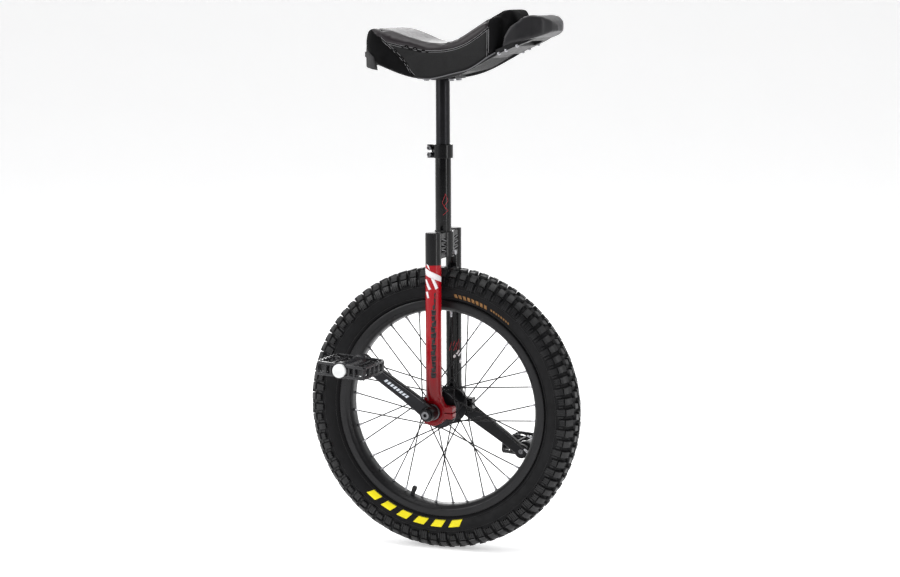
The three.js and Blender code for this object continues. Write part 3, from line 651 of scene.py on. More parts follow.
def add_tyre():
    outer = [(r, y) for y, r in WALK[::2]]
    inner = [(193.0, 14.4), (201, 14.4), (214, 23.5), (230, 26), (243, 22), (247, 8)]
    half = outer[1:] + inner
    outline = [outer[0]] + half + sided(reversed(half), -1)
    vertices, faces = lathe_mesh(outline, WHEEL_SEGMENTS, True)
    piece("tyre_carcass", vertices, faces, TYRE_RUBBER, "wheel", ("tyre",), "tyre_rubber", AXLE, 50)

    tread = Batch()
    pitch = 2 * math.pi / TREAD_ROWS
    for row in range(TREAD_ROWS):
        angle = row * pitch
        wide = row % 2 == 0
        for sign in (-1, 1):
            reach = (1.6, 12.5) if wide else (3.4, 14.5)
            tread_block(tread, angle + sign * pitch * 0.06, sign * reach[0], sign * reach[1],
                        12.2 if wide else 10.4, CENTRE_KNOB_HEIGHT, skew=sign * 0.15)
            edge = (17.2, 29.5) if wide else (18.6, 30.5)
            tread_block(tread, angle + pitch * 0.5, sign * edge[0], sign * edge[1], 13.2, EDGE_KNOB_HEIGHT,
                        skew=-sign * 0.1)
            foot = 44.0 if wide else 39.5
            lug = angle + pitch * 0.5
            tread_block(tread, lug, sign * (edge[1] + 0.8), sign * foot, 12.0, SIDE_LUG_HEIGHT, taper=0.9)
            for step in (-0.2, 0.0, 0.2):
                tread_block(tread, lug + pitch * step, sign * (edge[1] + 2), sign * (foot + 2), 1.7,
                            LUG_RIB_HEIGHT)
            tread_block(tread, angle, sign * 34, sign * (44 if wide else 41), 3.0, SMALL_RIB_HEIGHT)
    tread.make("tyre_tread", TREAD_RUBBER, "wheel", slot="tyre_rubber", place=AXLE, sharp=30)

    ribs = Batch()
    for radius, lift, thick in ((SIDE_LINE_RADIUS, 29.7, 0.55), (205.2, 23.9, 0.5)):
        for sign in (-1, 1):
            section = [(radius + x, sign * lift + y) for x, y in circle(thick, 6)]
            ribs.add(*lathe_mesh(section, WHEEL_SEGMENTS, True))
    ribs.make("tyre_side_lines", TREAD_RUBBER, "wheel", slot="tyre_rubber", place=AXLE)


def side_y(radius):
    """How far out the tyre's side is at this radius."""
    spots = [(r, y) for y, r in reversed(WALK) if y > 17.9 and r < 232]
    return through(spots, radius)


def slanted(start, width, low_edge, high_edge, lean):
    end = start + width
    return [(start, low_edge), (end, low_edge), (end + lean, high_edge), (start + lean, high_edge)]


def banded(start, width, low_edge, high_edge, lean, count):
    """A slanted dash in level bands, so that it can follow a curved side."""
    rise = (high_edge - low_edge) / count
    shift = lean / count
    return [slanted(start + shift * k, width, low_edge + rise * k, low_edge + rise * (k + 1), shift)
            for k in range(count)]


def add_tyre_marks():
    """Plain slanted dashes printed on the near sidewall."""
    def onto(a, b):
        angle = math.radians(a)
        return (b * math.cos(angle), -side_y(b) - 0.8, b * math.sin(angle) + AXLE_Z)
    long_marks = []
    for k in range(6):
        long_marks += banded(230.9 + k * 9.2, 5.6, 204.6, 217.2, -2.0, 6)
    film("tyre_yellow_dashes", long_marks, onto, YELLOW_INK, "wheel", "tyre_rubber", 1.0, 0.2)
    small = []
    for k in range(8):
        small += banded(63.5 + 2.3 * k, 1.5, 207.5, 214.5, 0.7, 3)
        small += banded(50.0 + 1.5 * k, 0.9, 209.5, 213.0, 0.4, 2)
    film("tyre_gold_dashes", small, onto, GOLD_INK, "wheel", "tyre_rubber", 1.0, 0.2)


# Rim, spokes and hub

SPOKES_PER_SIDE = 18
SPOKE_CIRCLE = 32.0
SPOKE_RADIUS = 1.15
FIRST_SPOKE = math.radians(5)
RIM_WELL = 178.0
FLANGE_Y = 26.0


def polar(radius, angle, y):
    return Vector((radius * math.cos(angle), y, radius * math.sin(angle)))


def add_rim():
    half = [(RIM_WELL, 7.5, 3), (180.6, 15, 2), (185.5, 19.8, 2), (187.2, 21, 1), (197.4, 21, 1),
            (RIM_RADIUS, 20.2, 0.8), (RIM_RADIUS, 18.6, 0.6), (190.6, 18.4, 0.5), (189.6, 15.6, 0.5),
            (183.6, 11.2, 1), (181.6, 7, 1)]
    lathe("rim_shell", mirrored(half), RIM_METAL, "wheel", ("rim",), "black_metal", segments=WHEEL_SEGMENTS)
    nipples, eyelets = Batch(), Batch()
    for start, end in spoke_ends():
        along = (start - end).normalized()
        turn = along.to_track_quat("Y", "Z").to_matrix().to_4x4()
        place = Matrix.Translation(end) @ turn
        nipples.lathe([(0, -1), (2.1, -1), (2.1, 3.5), (1.7, 10.5), (1.2, 11.5), (0, 11.5)], place, 12)
        eyelets.lathe([(0, -0.5), (3.1, -0.5), (3.1, 0.9), (2.0, 1.3), (0, 1.3)], place, 16)
    nipples.make("spoke_nipples", STEEL, "wheel", slot="steel", place=AXLE)
    eyelets.make("rim_eyelets", DARK_STEEL, "wheel", slot="black_metal", place=AXLE)


def spoke_ends():
    """The hub end and the rim end of every spoke, which leave the hub near the tangent."""
    ends = []
    pitch = 2 * math.pi / SPOKES_PER_SIDE
    for sign in SIDES.values():
        first = FIRST_SPOKE + (pitch / 2 if sign > 0 else 0)
        for i in range(SPOKES_PER_SIDE):
            angle = first + i * pitch
            forward = (i % 2 == 0) == (sign > 0)
            lead = (3 if forward else -3) * pitch
            out = 2.4 if forward else -2.4
            start = polar(SPOKE_CIRCLE, angle + lead, sign * (FLANGE_Y + out))
            ends.append((start, polar(RIM_WELL + 0.6, angle, sign * 3.5)))
    return ends


def add_spokes():
    spokes = {"right": Batch(), "left": Batch()}
    for start, end in spoke_ends():
        batch = spokes["right" if start.y < 0 else "left"]
        batch.rod(start, end, SPOKE_RADIUS, 10)
        side = 1 if start.y > 0 else -1
        inwards = -1 if abs(start.y) > FLANGE_Y else 1
        far = start + Vector((0, side * inwards * 4.8, 0))
        batch.rod(start, far, SPOKE_RADIUS, 10)
        batch.rod(far, far + Vector((0, side * inwards * 0.9, 0)), 1.9, 12)
    for side, batch in spokes.items():
        batch.make(f"spokes_{side}_set", DARK_STEEL, "wheel", (f"spokes_{side}",), "black_metal", AXLE)


def add_hub():
    half = [(11.3, 43.7, 0.3), (13.5, 43.7, 0.5), (13.5, 30, 0.5), (22, 28.4, 1), (FLANGE_Y + 8.5, 27.5, 0.6),
            (FLANGE_Y + 8.5, 24.5, 0.6), (21, 23.4, 1.5), (16, 19, 3)]
    lathe("hub_shell_turned", mirrored(half), BLACK_METAL, "wheel", ("hub_shell",), "black_metal")
    for side in SIDES:
        spacer = f"spacer_{side}"
        bearing = f"bearing_outer_ring_{side}"
        rings = [
            (f"spacer_{side}_turned", GREY_STEEL, "wheel", spacer, spacer,
             11.3, 14.4, half_size(spacer).y, 0.2, 0.6),
            (f"bearing_race_{side}", GREY_STEEL, "frame", bearing, bearing, 17.9, 21, 6, 0.4, 0.7),
            (f"bearing_shield_{side}", BLACK_PLASTIC, "wheel", f"bearing_cage_{side}", bearing,
             14.4, 17.6, 5.4, 0.2, 0.2),
            (f"bearing_inner_{side}", GREY_STEEL, "wheel", f"bearing_inner_ring_{side}", bearing,
             11.3, 14.2, 6, 0.2, 0.5),
        ]
        for name, paint, body, node, centre, bore, outer, half, soft, edge in rings:
            outline = [(bore, -half, soft), (outer, -half, edge), (outer, half, edge), (bore, half, soft)]
            lathe(name, outline, paint, body, (node,), "steel", Matrix.Translation(mid(centre)))
    for node, material in (("axle", STEEL), ("inner_tube", TUBE_RUBBER), ("rim_tape", TUBE_RUBBER)):
        finish_node(node, material)


def add_valve():
    stem = mid("valve_stem")
    out = (stem - Vector((0, 0, AXLE_Z))).normalized()
    place = AXLE @ out.to_track_quat("Y", "Z").to_matrix().to_4x4()
    tip = (mid("valve_cap") - Vector((0, 0, AXLE_Z))).length - 4.5
    cap = [(0, tip), (3.2, tip, 0.8), (4.4, tip + 2, 0.6), (4.6, tip + 9.0, 0.4), (0, tip + 9.0)]
    lathe("valve_cap_moulded", cap, BLACK_PLASTIC, "wheel", ("valve_cap",), "black_plastic", place)
    stem_outline = [(0, tip + 9.3), (3.6, tip + 9.3, 0.3), (4.0, tip + 11, 0.3), (4.0, 197, 0.3), (0, 197)]
    lathe("valve_stem_turned", stem_outline, BLACK_PLASTIC, "wheel", ("valve_stem",), "black_metal", place)


# Legs, bearing holders and crown

HOLDER_RADIUS = AXLE_Z - low("bearing_holder_right").z
CROWN_GROOVE_PITCH = 9.5


def add_leg(side):
    """The tube of a leg, which swells at the bottom into its bearing holder."""
    sign = SIDES[side]
    red = side == "right"
    segments = 64
    rings = []
    heights = [21, 23, 25, 28, 31, 34, 37, 41, 46, 53, 62, 90, 200, 266, 300, LEG_TOP - AXLE_Z - 1.4]
    for z in heights:
        swell = max(0.0, (44 - z) / 28) ** 2 if z < 44 else 0.0
        across = LEG_RADIUS - swell * 4.8
        rings += [((LEG_RADIUS + (swell * 3.4 if math.cos(a) > 0 else 0)) * math.cos(a),
                   sign * LEG_Y + across * math.sin(a), z)
                  for a in (2 * math.pi * k / segments for k in range(segments))]
    faces = ring_faces(len(heights), segments)
    paint_from = heights.index(266)
    walls = (len(heights) - 1) * segments
    marks = [int(red and index < walls and index // segments < paint_from) for index in range(len(faces))]
    piece(f"leg_{side}_tube", rings, faces, [BLACK_PAINT, RED_PAINT], "frame", (f"leg_{side}",),
          "red_paint" if red else "black_paint", AXLE, 30, marks)

    plug = [(0, -4), (LEG_RADIUS - 2, -4), (LEG_RADIUS - 0.2, -1.2, 0.6), (LEG_RADIUS - 0.8, 0, 0.8), (0, 0)]
    place = Matrix.Translation((0, sign * LEG_Y, LEG_TOP)) @ UPRIGHT
    lathe(f"leg_cap_{side}_plug", plug, BLACK_PLASTIC, "frame", (f"leg_cap_{side}",), "black_plastic", place,
          0.5)


def holder_outline():
    """Side view of a bearing holder: a ring with a flared neck, slit between two tabs in front."""
    ear, ear_height, bore, gap, corner = 39.0, 11.0, 21.15, 0.5, 2.6
    radius = HOLDER_RADIUS
    neck = [(23.5, ear_height + 0.2), (20.5, 12.6), (17.6, 16.5), (15.6, 21.5), (14.4, 27.0)]
    flank = math.degrees(math.atan2(12.4, -21.5))
    shoulder = math.degrees(math.asin(ear_height / radius))
    outline = [(bore, gap), (ear, gap)] + arc((ear - corner, ear_height - corner), corner, 0, 90, 5) + neck
    outline += [(-14.4, 27.0), (-15.8, 21.5), (-18.6, 16.6)]
    outline += arc((0, 0), radius, flank, 360 - shoulder, 56)
    outline += arc((ear - corner, corner - ear_height), corner, -90, 0, 5) + [(ear, -gap), (bore, -gap)]
    split = math.degrees(math.asin(gap / bore))
    return outline + arc((0, 0), bore, 360 - split, split, 72)[1:-1]


def add_holder(side):
    sign = SIDES[side]
    red = side == "right"
    paint = RED_PAINT if red else BLACK_PAINT
    slot = "red_paint" if red else "black_paint"
    node = f"bearing_holder_{side}"
    inner, outer = LEG_Y - 9.5, LEG_Y + 9.5
    body = Batch().prism(holder_outline(), *sorted((sign * inner, sign * outer)))
    bevel(body.make(f"holder_{side}_clamp", paint, "frame", (node,), slot, AXLE, 30), 1.5, 3, 40)
    lip = [(15.0, outer - 2.6, 0.4), (22.4, outer - 2.6, 0.2), (22.8, outer - 0.7, 0.2),
           (20.5, outer - 0.2, 1.5), (16.4, outer - 0.6, 1.2), (15.0, outer - 1.6, 0.6)]
    lathe(f"holder_{side}_lip", sided(lip, sign), paint, "frame", slot=slot)
    bolt = f"bearing_bolt_{side}"
    spot = mid(bolt)
    base = low(bolt).z
    head = [(0, base), (3.4, base, 0.8), (4.6, base + 1.2, 0.5), (4.6, AXLE_Z - 11.3, 0.3),
            (2.6, AXLE_Z - 11.2, 0.2), (2.6, AXLE_Z + 11.4, 0.3), (0, AXLE_Z + 11.4)]
    place = Matrix.Translation((spot.x, spot.y, 0)) @ UPRIGHT
    lathe(f"bearing_bolt_{side}_steel", head, DARK_STEEL, "frame", (bolt,), "black_metal", place, 0.3, 32)


def add_crown():
    half_depth, reach, barrel = CROWN_BEAM_HALF, half_size("crown").y, half_size("crown").x
    joint = math.degrees(math.acos(half_depth / barrel))
    outline = [(half_depth, -reach)] + arc((0, 0), barrel, -joint, joint, 18) + [(half_depth, reach)]
    outline = outline + [(-x, y) for x, y in reversed(outline)]
    low_z, high_z = CROWN_LOW + 0.2, CROWN_HIGH - 0.2
    rings = [(x, y, z) for z in (low_z, high_z) for x, y in outline]
    made = piece("crown_block", rings, ring_faces(2, len(outline)), BLACK_PAINT, "frame", ("crown",),
                 "black_paint", None, 30)
    cutter = Batch()
    cutter.rod((0, 0, low_z - 1), (0, 0, high_z + 1), LEG_RADIUS + 0.3, 64)
    grooves = [(face, sign, low_z + 11 + CROWN_GROOVE_PITCH * row)
               for face in (-1, 1) for sign in (-1, 1) for row in range(3)]
    for face, sign, z in grooves:
        y0, y1 = sorted((sign * 17.0, sign * 41.5))
        x0, x1 = sorted((face * (half_depth - 3.5), face * (half_depth + 5)))
        cutter.box((x0, y0, z), (x1, y1, z + 5.0))
    carve(made, cutter)
    bevel(made, 0.9, 3, 40)
    # Painted highlights: bright steel cords slanting across the grooves on both faces of the crown stand for
    # light on the rib edges.
    edges = Batch()
    for face, sign, z in grooves:
        line = [(face * (half_depth + 0.1), sign * y, z - 0.8 + 5 * math.sin((y - 17) / 22 * 1.5))
                for y in (17, 21, 25, 29, 33, 37, 40.5)]
        tube_along(edges, [Vector(spot) for spot in line], 0.7, 6)
    edges.make("crown_groove_painted_highlights", STEEL, "frame", slot="black_paint")
    bolt = mid("crown_bolt")
    tip, back = -high("crown_bolt").x, -low("crown_bolt").x
    head = [(0, tip), (2.0, tip + 0.4, 0.3), (4.4, tip + 0.3, 0.4), (4.6, -half_depth - 5.5, 0.3),
            (2.6, back, 0.2), (0, back)]
    place = Matrix.Translation((0, bolt.y, bolt.z)) @ Matrix.Rotation(math.pi / 2, 4, "Z")
    lathe("crown_bolt_steel", head, STEEL, "frame", ("crown_bolt",), "steel", place, 0.3, 32)


def carve(made, cutter):
    """Cuts the batch's solids out of the object."""
    tool = cutter.make("carving_tool", BLACK_PAINT, "frame")
    modify(made, "BOOLEAN", operation="DIFFERENCE", solver="EXACT", object=tool)
    settle(made)
    bpy.data.objects.remove(tool, do_unlink=True)


def settle(made):
    """Turns the modifiers into plain mesh."""
    graph = bpy.context.evaluated_depsgraph_get()
    mesh = bpy.data.meshes.new_from_object(made.evaluated_get(graph))
    made.modifiers.clear()
    made.data = mesh
    mesh.shade_smooth()
    mesh.set_sharp_from_angle(angle=math.radians(32))
    return made


def add_seat_tube():
    bore = half_size("seatpost").x + 0.3
    outline = [(bore, CROWN_LOW, 0.3), (TUBE_RADIUS, CROWN_LOW, 0.8), (TUBE_RADIUS, TUBE_TOP, 0.4),
               (bore, TUBE_TOP, 0.3)]
    lathe("seat_tube_painted", outline, BLACK_PAINT, "frame", ("seat_tube",), "black_paint", UPRIGHT, 0.4)
    bead = ((-0.2, -0.3), (2.4, -0.3), (1.4, 1.4), (-0.2, 2.6))
    ring = [(TUBE_RADIUS + out, CROWN_HIGH + up) for out, up in bead]
    lathe("seat_tube_weld", ring, BLACK_PAINT, "frame", slot="black_paint", place=UPRIGHT, radius=0.8)


def add_clamp():
    """Seat clamp: a split collar with two ears and two bolts."""
    outer = high("seat_clamp").y
    inner = TUBE_RADIUS + 0.25
    ear, half, slit = -27.5, 8.0, 1.4
    start = math.degrees(math.asin(half / outer))
    split = math.degrees(math.asin(slit / inner))
    full = [(ear, slit), (ear, half)] + arc((0, 0), outer, 180 - start, start - 180, 56)
    full += [(ear, -half), (ear, -slit)] + arc((0, 0), inner, split - 180, 180 - split, 56)
    rings = [(x, y, z) for z in (CLAMP_LOW, CLAMP_HIGH) for x, y in full]
    made = piece("seat_clamp_collar", rings, ring_faces(2, len(full)), BLACK_PAINT, "frame", ("seat_clamp",),
                 "black_paint", None, 30)
    cutter = Batch()
    middle = (CLAMP_LOW + CLAMP_HIGH) / 2
    cutter.box((-30, -12, middle - 2.2), (-19.2, 12, middle + 2.2))
    carve(made, cutter)
    bevel(made, 0.9, 3, 40)
    for name in ("lower", "upper"):
        node = f"seat_clamp_bolt_{name}"
        reach = half_size(node).y
        bolt = [(0, -reach + 1.8), (1.6, -reach + 1.8, 0.2), (2.0, -reach, 0.3), (4.2, -reach, 0.5),
                (4.2, -8.4, 0.3), (2.5, -8.3, 0.2), (2.5, 8.3, 0.2), (4.2, 8.4, 0.3), (4.2, reach, 0.5),
                (0, reach)]
        lathe(f"seat_clamp_bolt_{name}_steel", bolt, GREY_STEEL, "frame", (node,), "steel",
              Matrix.Translation(mid(node)), 0.3, 32)


def add_seatpost():
    base, top = low("seatpost").z, high("seatpost").z
    radius = half_size("seatpost").x
    outline = [(0, base), (radius - 1.5, base), (radius, base + 1.0, 0.6), (radius, top - 0.8, 0.4),
               (radius - 1.5, top, 0.4), (0, top)]
    lathe("seatpost_tube", outline, BLACK_METAL, "post", ("seatpost",), "black_metal", UPRIGHT, 0.5)


# Cranks and pedals

def crank_place(side):
    """Crank frame: X along the arm from the axle to the pedal, Y across, Z over the arm."""
    angle = CRANK_ANGLE if side == "right" else CRANK_ANGLE + math.pi
    return AXLE @ Matrix.Rotation(-angle, 4, "Y")


CRANK_HUB_HALF = 13.5
CRANK_EYE_HALF = 10.0
ARM_IN = 66.0
ARM_THICK = 13.5
FLARE = 13.5
EYE_RADIUS = 13.0
PEDAL_HALF_LENGTH = 46.5
PEDAL_HALF_HEIGHT = 11.5


def crank_half(x):
    return CRANK_HUB_HALF + (CRANK_EYE_HALF - CRANK_HUB_HALF) * x / CRANK_LENGTH


def crank_outline(grow):
    """Side view of a tapering crank arm, round at the axle and at the pedal."""
    hub, eye = CRANK_HUB_HALF + grow, EYE_RADIUS + grow
    joint = CRANK_LENGTH - 8
    half_there = crank_half(joint) + grow
    at_eye = 180 - math.degrees(math.asin(min(1, half_there / eye)))
    stations = [4 + k * (joint - 12) / 28 for k in range(29)]
    points = arc((0, 0), hub, 90, 270, 24)
    points += [(x, -crank_half(x) - grow) for x in stations]
    points += arc((CRANK_LENGTH, 0), eye, -at_eye, at_eye, 34)
    return points + [(x, crank_half(x) + grow) for x in reversed(stations)]


def flare_at(x):
    """How far out the arm is at x: level near the axle and near the pedal, sloping between."""
    return min(1, max(0, x / 40)) + (FLARE - 1) * smoothstep(28, 128, x)


def add_crank(side):
    sign = SIDES[side]
    levels = [(0, -8.6), (0, -1.6), (1.6, 0), (ARM_THICK - 3.4, 0), (ARM_THICK, -2.6), (ARM_THICK, -8.6)]
    rings = []
    count = len(crank_outline(0))
    for depth, grow in levels:
        for x, z in crank_outline(grow):
            rings.append((x, sign * (ARM_IN + flare_at(x) + depth), z))
    faces = ring_faces(len(levels), count, caps=False)
    for start in (0, (len(levels) - 1) * count):
        lower, upper = start + 25, start + count - 1
        faces += [(lower + k, lower + k + 1, upper - k - 1, upper - k) for k in range(28)]
        faces.append(tuple([start + k for k in range(26)] + [upper]))
        faces.append(tuple(range(lower + 28, upper - 27)))
    made = piece(f"crank_{side}_arm", rings, faces, CRANK_FACE, "wheel",
                 (f"crank_{side}",), "black_metal", crank_place(side), 20)
    # Faces that don't face along the axle take the darker copy, as painted shade on the arm's sides.
    made.data.materials.append(CRANK_SIDE_SHADE)
    for polygon in made.data.polygons:
        if abs(polygon.normal.y) < 0.9:
            polygon.material_index = 1
    bevel(made, 0.45, 2, 20)
    # The boss takes the darker copy too, as painted shade.
    boss = [(11.3, 62.3), (12.9, 62.3, 0.6), (13.4, 64, 0.8), (13.2, 80, 1), (12.6, 86, 1.0),
            (11.9, 88.8, 0.5), (11.3, 88.8, 0.3)]
    lathe(f"crank_{side}_boss", sided(boss, sign), CRANK_SIDE_SHADE, "wheel", slot="black_metal",
          place=crank_place(side))
    pocket = Batch()
    for x0, x1 in ((30, 62), (66, 98), (102, 128)):
        y0, y1 = sorted((sign * (ARM_IN - 0.2), sign * (ARM_IN + 0.25)))
        corners = [(x, z * (crank_half(x) - 4.2)) for x, z in ((x0, -1), (x1, -1), (x1, 1), (x0, 1))]
        ring = [(x, y + sign * flare_at(x), z) for y in (y0, y1) for x, z in corners]
        pocket.add(ring, ring_faces(2, 4))
    pocket.make(f"crank_{side}_pockets", DARK_STEEL, "wheel", slot="black_metal", place=crank_place(side))
    node = f"crank_bolt_{side}"
    inner, outer = span(node)
    bolt = [(0, outer - 3.2), (3.25, outer - 3.2, 0.1), (3.4, outer - 0.5, 0.2), (6.2, outer - 0.5, 0.2),
            (6.5, outer, 0.2), (7.3, outer, 0.2), (7.6, outer - 0.5, 0.2), (10.2, outer - 0.6, 0.8),
            (10.5, outer - 4.0, 0.3), (5.8, outer - 4.1, 0.2), (5.8, inner, 0.3), (0, inner)]
    lathe(f"crank_bolt_{side}_cap", sided(bolt, sign), BLACK_METAL, "wheel", (node,),
          "black_metal", crank_place(side), 0.3, 64)
    ring = [(3.3, outer - 0.3), (6.9, outer - 0.3), (6.9, outer + 0.15), (3.3, outer + 0.15)]
    lathe(f"crank_bolt_{side}_ring", sided(ring, sign), GREY_STEEL, "wheel", slot="steel",
          place=crank_place(side), radius=0.1)


def add_crank_marks_and_highlight():
    """Plain slanted dashes on the near crank, and thin bright cords along both edges of its arm as a painted
    highlight.
    """
    def onto(a, b):
        return crank_place("right") @ Vector((a, -(ARM_IN + flare_at(a) + ARM_THICK + 0.25), b))
    dashes = [slanted(46 + 6.6 * k, 4.4, -3.3, 2.5, 2.6) for k in range(8)]
    film("crank_dashes", dashes, onto, SILVER_FILM, "wheel", "black_metal", 2.0)
    # Painted highlight: grey steel cords along the upper and lower edges of the near arm.
    line = Batch()
    for up in (-1, 1):
        edge = [crank_place("right") @ Vector((x, -(ARM_IN + flare_at(x) + ARM_THICK - 0.2),
                                               up * (crank_half(x) - 2.2)))
                for x in range(18, int(CRANK_LENGTH) - 14, 4)]
        tube_along(line, edge, 0.4, 6)
    line.make("crank_edge_painted_highlight", GREY_STEEL, "wheel", slot="black_metal", sharp=60)


def add_pedal(side):
    sign = SIDES[side]
    axis = mid(f"pedal_end_cap_{side}")
    place = Matrix.Translation((axis.x, 0, axis.z)) @ Matrix.Rotation(PEDAL_TILT, 4, "Y")
    body = f"pedal_{side}"
    node = f"pedal_body_{side}"
    y0, y1 = span(node)
    half = PEDAL_HALF_LENGTH
    cage = Batch()

    def block(x0, x1, ya, yb, z0, z1):
        xs, ys = sorted((x0, x1)), sorted((sign * ya, sign * yb))
        cage.box((xs[0], ys[0], z0), (xs[1], ys[1], z1))
    for x_sign in (-1, 1):
        near, far = x_sign * half, x_sign * (half - 6)
        for z0, z1 in ((6.5, PEDAL_HALF_HEIGHT), (-PEDAL_HALF_HEIGHT, -6.5)):
            block(near, far, y0 + 7, y1 - 7, z0, z1)
            for ya in (y0 + 1, y1 - 7):
                block(far + x_sign * 3, x_sign * 9, ya, ya + 6, z0 * 1.05, z1 * 1.05)
            block(x_sign * 21, x_sign * 25, y0 + 6, y1 - 6, z0 * 0.8, z1 * 0.8)
        for k in range(5):
            ya = y0 + 7 + k * (y1 - y0 - 20) / 4
            block(near, far, ya, ya + 6, -9, 9)
            block(far + x_sign, x_sign * 10, ya + 1, ya + 4.5, -5.5, 5.5)
        for x in (half - 5, half - 21, 15):
            for ya in (y0 + 1.2, y1 - 6.8):
                block(x_sign * x, x_sign * (x + 4), ya, ya + 5.6, -9, 9)
    made = cage.make(f"pedal_{side}_cage", PEDAL_PLASTIC, body, (node,), "black_plastic", place, 30)
    bevel(made, 1.1, 2, 40)
    barrel = [(9.2, y0 + 0.5, 0.5), (15.5, y0 + 0.5, 1.5), (16.5, y0 + 10, 3), (13.0, y0 + 20, 4),
              (13.0, y1 - 22, 4), (15.5, y1 - 12, 3), (14.5, y1 - 3.2, 1.2), (9.2, y1 - 3.2, 0.5)]
    lathe(f"pedal_{side}_barrel", sided(barrel, sign), PEDAL_PLASTIC, body,
          slot="black_plastic", place=place)
    pins = Batch()
    for x_sign in (-1, 1):
        spots = [(half - 4.5, y0 + 14 + k * 14.2) for k in range(6)]
        spots += [(half - 18, y0 + 6), (half - 18, y1 - 6), (20, y0 + 6), (20, y1 - 6)]
        for k, (x, y) in enumerate(spots):
            top = PEDAL_HALF_HEIGHT if k < 6 else 9.5
            for up in (-1, 1):
                pins.rod((x_sign * x, sign * y, up * (top - 1)), (x_sign * x, sign * y, up * (top + 2.2)),
                         2.0, 8)
    pins.make(f"pedal_{side}_pins", PEDAL_PLASTIC, body, slot="black_plastic", place=place, sharp=50)
    cap_node = f"pedal_end_cap_{side}"
    inner, outer = span(cap_node)
    radius = half_size(cap_node).z
    cap = [(0, outer - 0.6), (radius - 3.5, outer - 0.4, 1), (radius - 2.6, outer, 0.3), (radius, outer, 0.9),
           (radius, inner, 0.4), (0, inner)]
    lathe(f"pedal_end_cap_{side}_white", sided(cap, sign), WHITE_PLASTIC, body, (cap_node,),
          "white_plastic", place, 0.6, 64)
    axle_node = f"pedal_axle_{side}"
    a0, a1 = span(axle_node)
    spindle = [(0, a0, 0.2), (5.0, a0, 0.3), (5.2, a0 + 2, 0.3), (5.2, a1 - 2, 0.3), (4.6, a1, 0.3),
               (0, a1, 0.2)]
    lathe(f"pedal_axle_{side}_steel", sided(spindle, sign), GREY_STEEL, "wheel", (axle_node,), "steel",
          Matrix.Translation((axis.x, 0, axis.z)), 0.3, 48)
    finish_node(f"pedal_bush_{side}", STEEL)


# Printed shapes on the frame

FACING = math.radians(-68.5)


def around_tube(centre_y, radius, turn=FACING):
    """Lays a flat mark round an upright tube: a is along the girth from its middle, b is height."""
    def onto(a, b):
        angle = turn + a / radius
        return ((radius + 0.12) * math.cos(angle), centre_y + (radius + 0.12) * math.sin(angle), b + AXLE_Z)
    return onto


def add_leg_marks():
    """Plain angular strokes and a tapering streak on the near leg, and a few on the far leg."""
    near = around_tube(-LEG_Y, LEG_RADIUS)
    white = [
        [(-22, 258), (-16, 261), (22, 243), (19, 235), (-18, 249)],
        [(-14, 269), (-11, 263), (-6, 258), (-9, 266)],
        [(-5, 245), (1, 243), (9, 226), (4, 223)],
        [(-20, 240), (-14, 241), (-4, 224), (-9, 222)],
        [(-17, 218), (-11, 219), (-8, 208), (-12, 207)],
    ]
    film("leg_white_strokes", white, near, WHITE_FILM, "frame", "red_paint", 1.5)
    streak = []
    for k in range(15):
        top = 217 - k * 10.3
        lean = 2.4 * math.sin(k * 2.3)
        left = -4.6 + 0.9 * math.sin(k * 1.7) + max(0, 4 - k) * 1.4
        right = 4.2 + 0.9 * math.sin(k * 2.9)
        streak.append([(left, top - 1 + lean), (right, top + 1 - lean), (right - 0.8, top - 9.2),
                       (left + 1.0, top - 9.8)])
    film("leg_black_streak", streak, near, BLACK_FILM, "frame", "red_paint", 1.5)

    far = around_tube(LEG_Y, LEG_RADIUS, FACING + math.radians(6))
    strokes = [slanted(-11 + 4.2 * k, 1.0, 98 + 2 * (k % 2), 120 - 3 * (k % 3), 6.5) for k in range(5)]
    film("far_leg_red_strokes", strokes, far, RED_FILM, "frame", "black_paint", 1.0)
    diamonds = [[(8, 100), (14, 94), (8, 87), (2, 93)], [(0, 92), (4, 87.5), (0, 83), (-4, 87.5)],
                [(12, 84), (15, 79), (12, 73), (9, 79)]]
    film("far_leg_white_diamonds", diamonds, far, WHITE_FILM, "frame", "black_paint", 1.0)


def add_tube_marks():
    """A thin angular line figure on the seat tube."""
    onto = around_tube(0, TUBE_RADIUS, math.radians(-52))
    lines = [(-5, 352, 5, 360), (5, 360, -3, 368), (-3, 368, 5, 378), (5, 378, 0, 390), (0, 390, -6, 374),
             (-6, 374, 1, 362)]
    strokes = []
    for x0, z0, x1, z1 in lines:
        across = Vector((z0 - z1, x1 - x0)).normalized() * 0.35
        strokes.append([(x0 - across.x, z0 - across.y), (x1 - across.x, z1 - across.y),
                        (x1 + across.x, z1 + across.y), (x0 + across.x, z0 + across.y)])
    film("tube_red_figure", strokes, onto, RED_FILM, "frame", "black_paint", 1.0)


# Saddle

SEAT_LOW = [(-124, 645), (-82, 627), (-32, 609), (12, 605), (75, 613), (139, 642), (216, 684)]
ARC_SEAM = [(600, -26.7), (610, -31), (628, -41.4), (646, -58.4), (664, -80), (683, -104), (690, -113)]
TOP_SEAM = [(-90, 665), (-75, 661), (-51, 655.5), (-27, 650), (-4, 646.2), (19, 645.8), (41, 649),
            (59, 654.5), (76, 663.5), (93, 674.5), (110, 686)]
NOSE_SEAM_X = 109.0
CLOTH = {"quality": 6, "mass": 0.3, "tension_stiffness": 12, "compression_stiffness": 12,
         "shear_stiffness": 5, "bending_stiffness": 0.4, "use_pressure": True}
CLOTH_FRAMES = 20
SEAM_DEPTH = 1.9
SEAM_WIDTH = 3.4


def hem_shift(x):
    """How far the cover's edge hangs below the tray behind, and stands above it in front."""
    return 9.0 * (smoothstep(60, 124, x) + smoothstep(-10, 60, x) - 1)


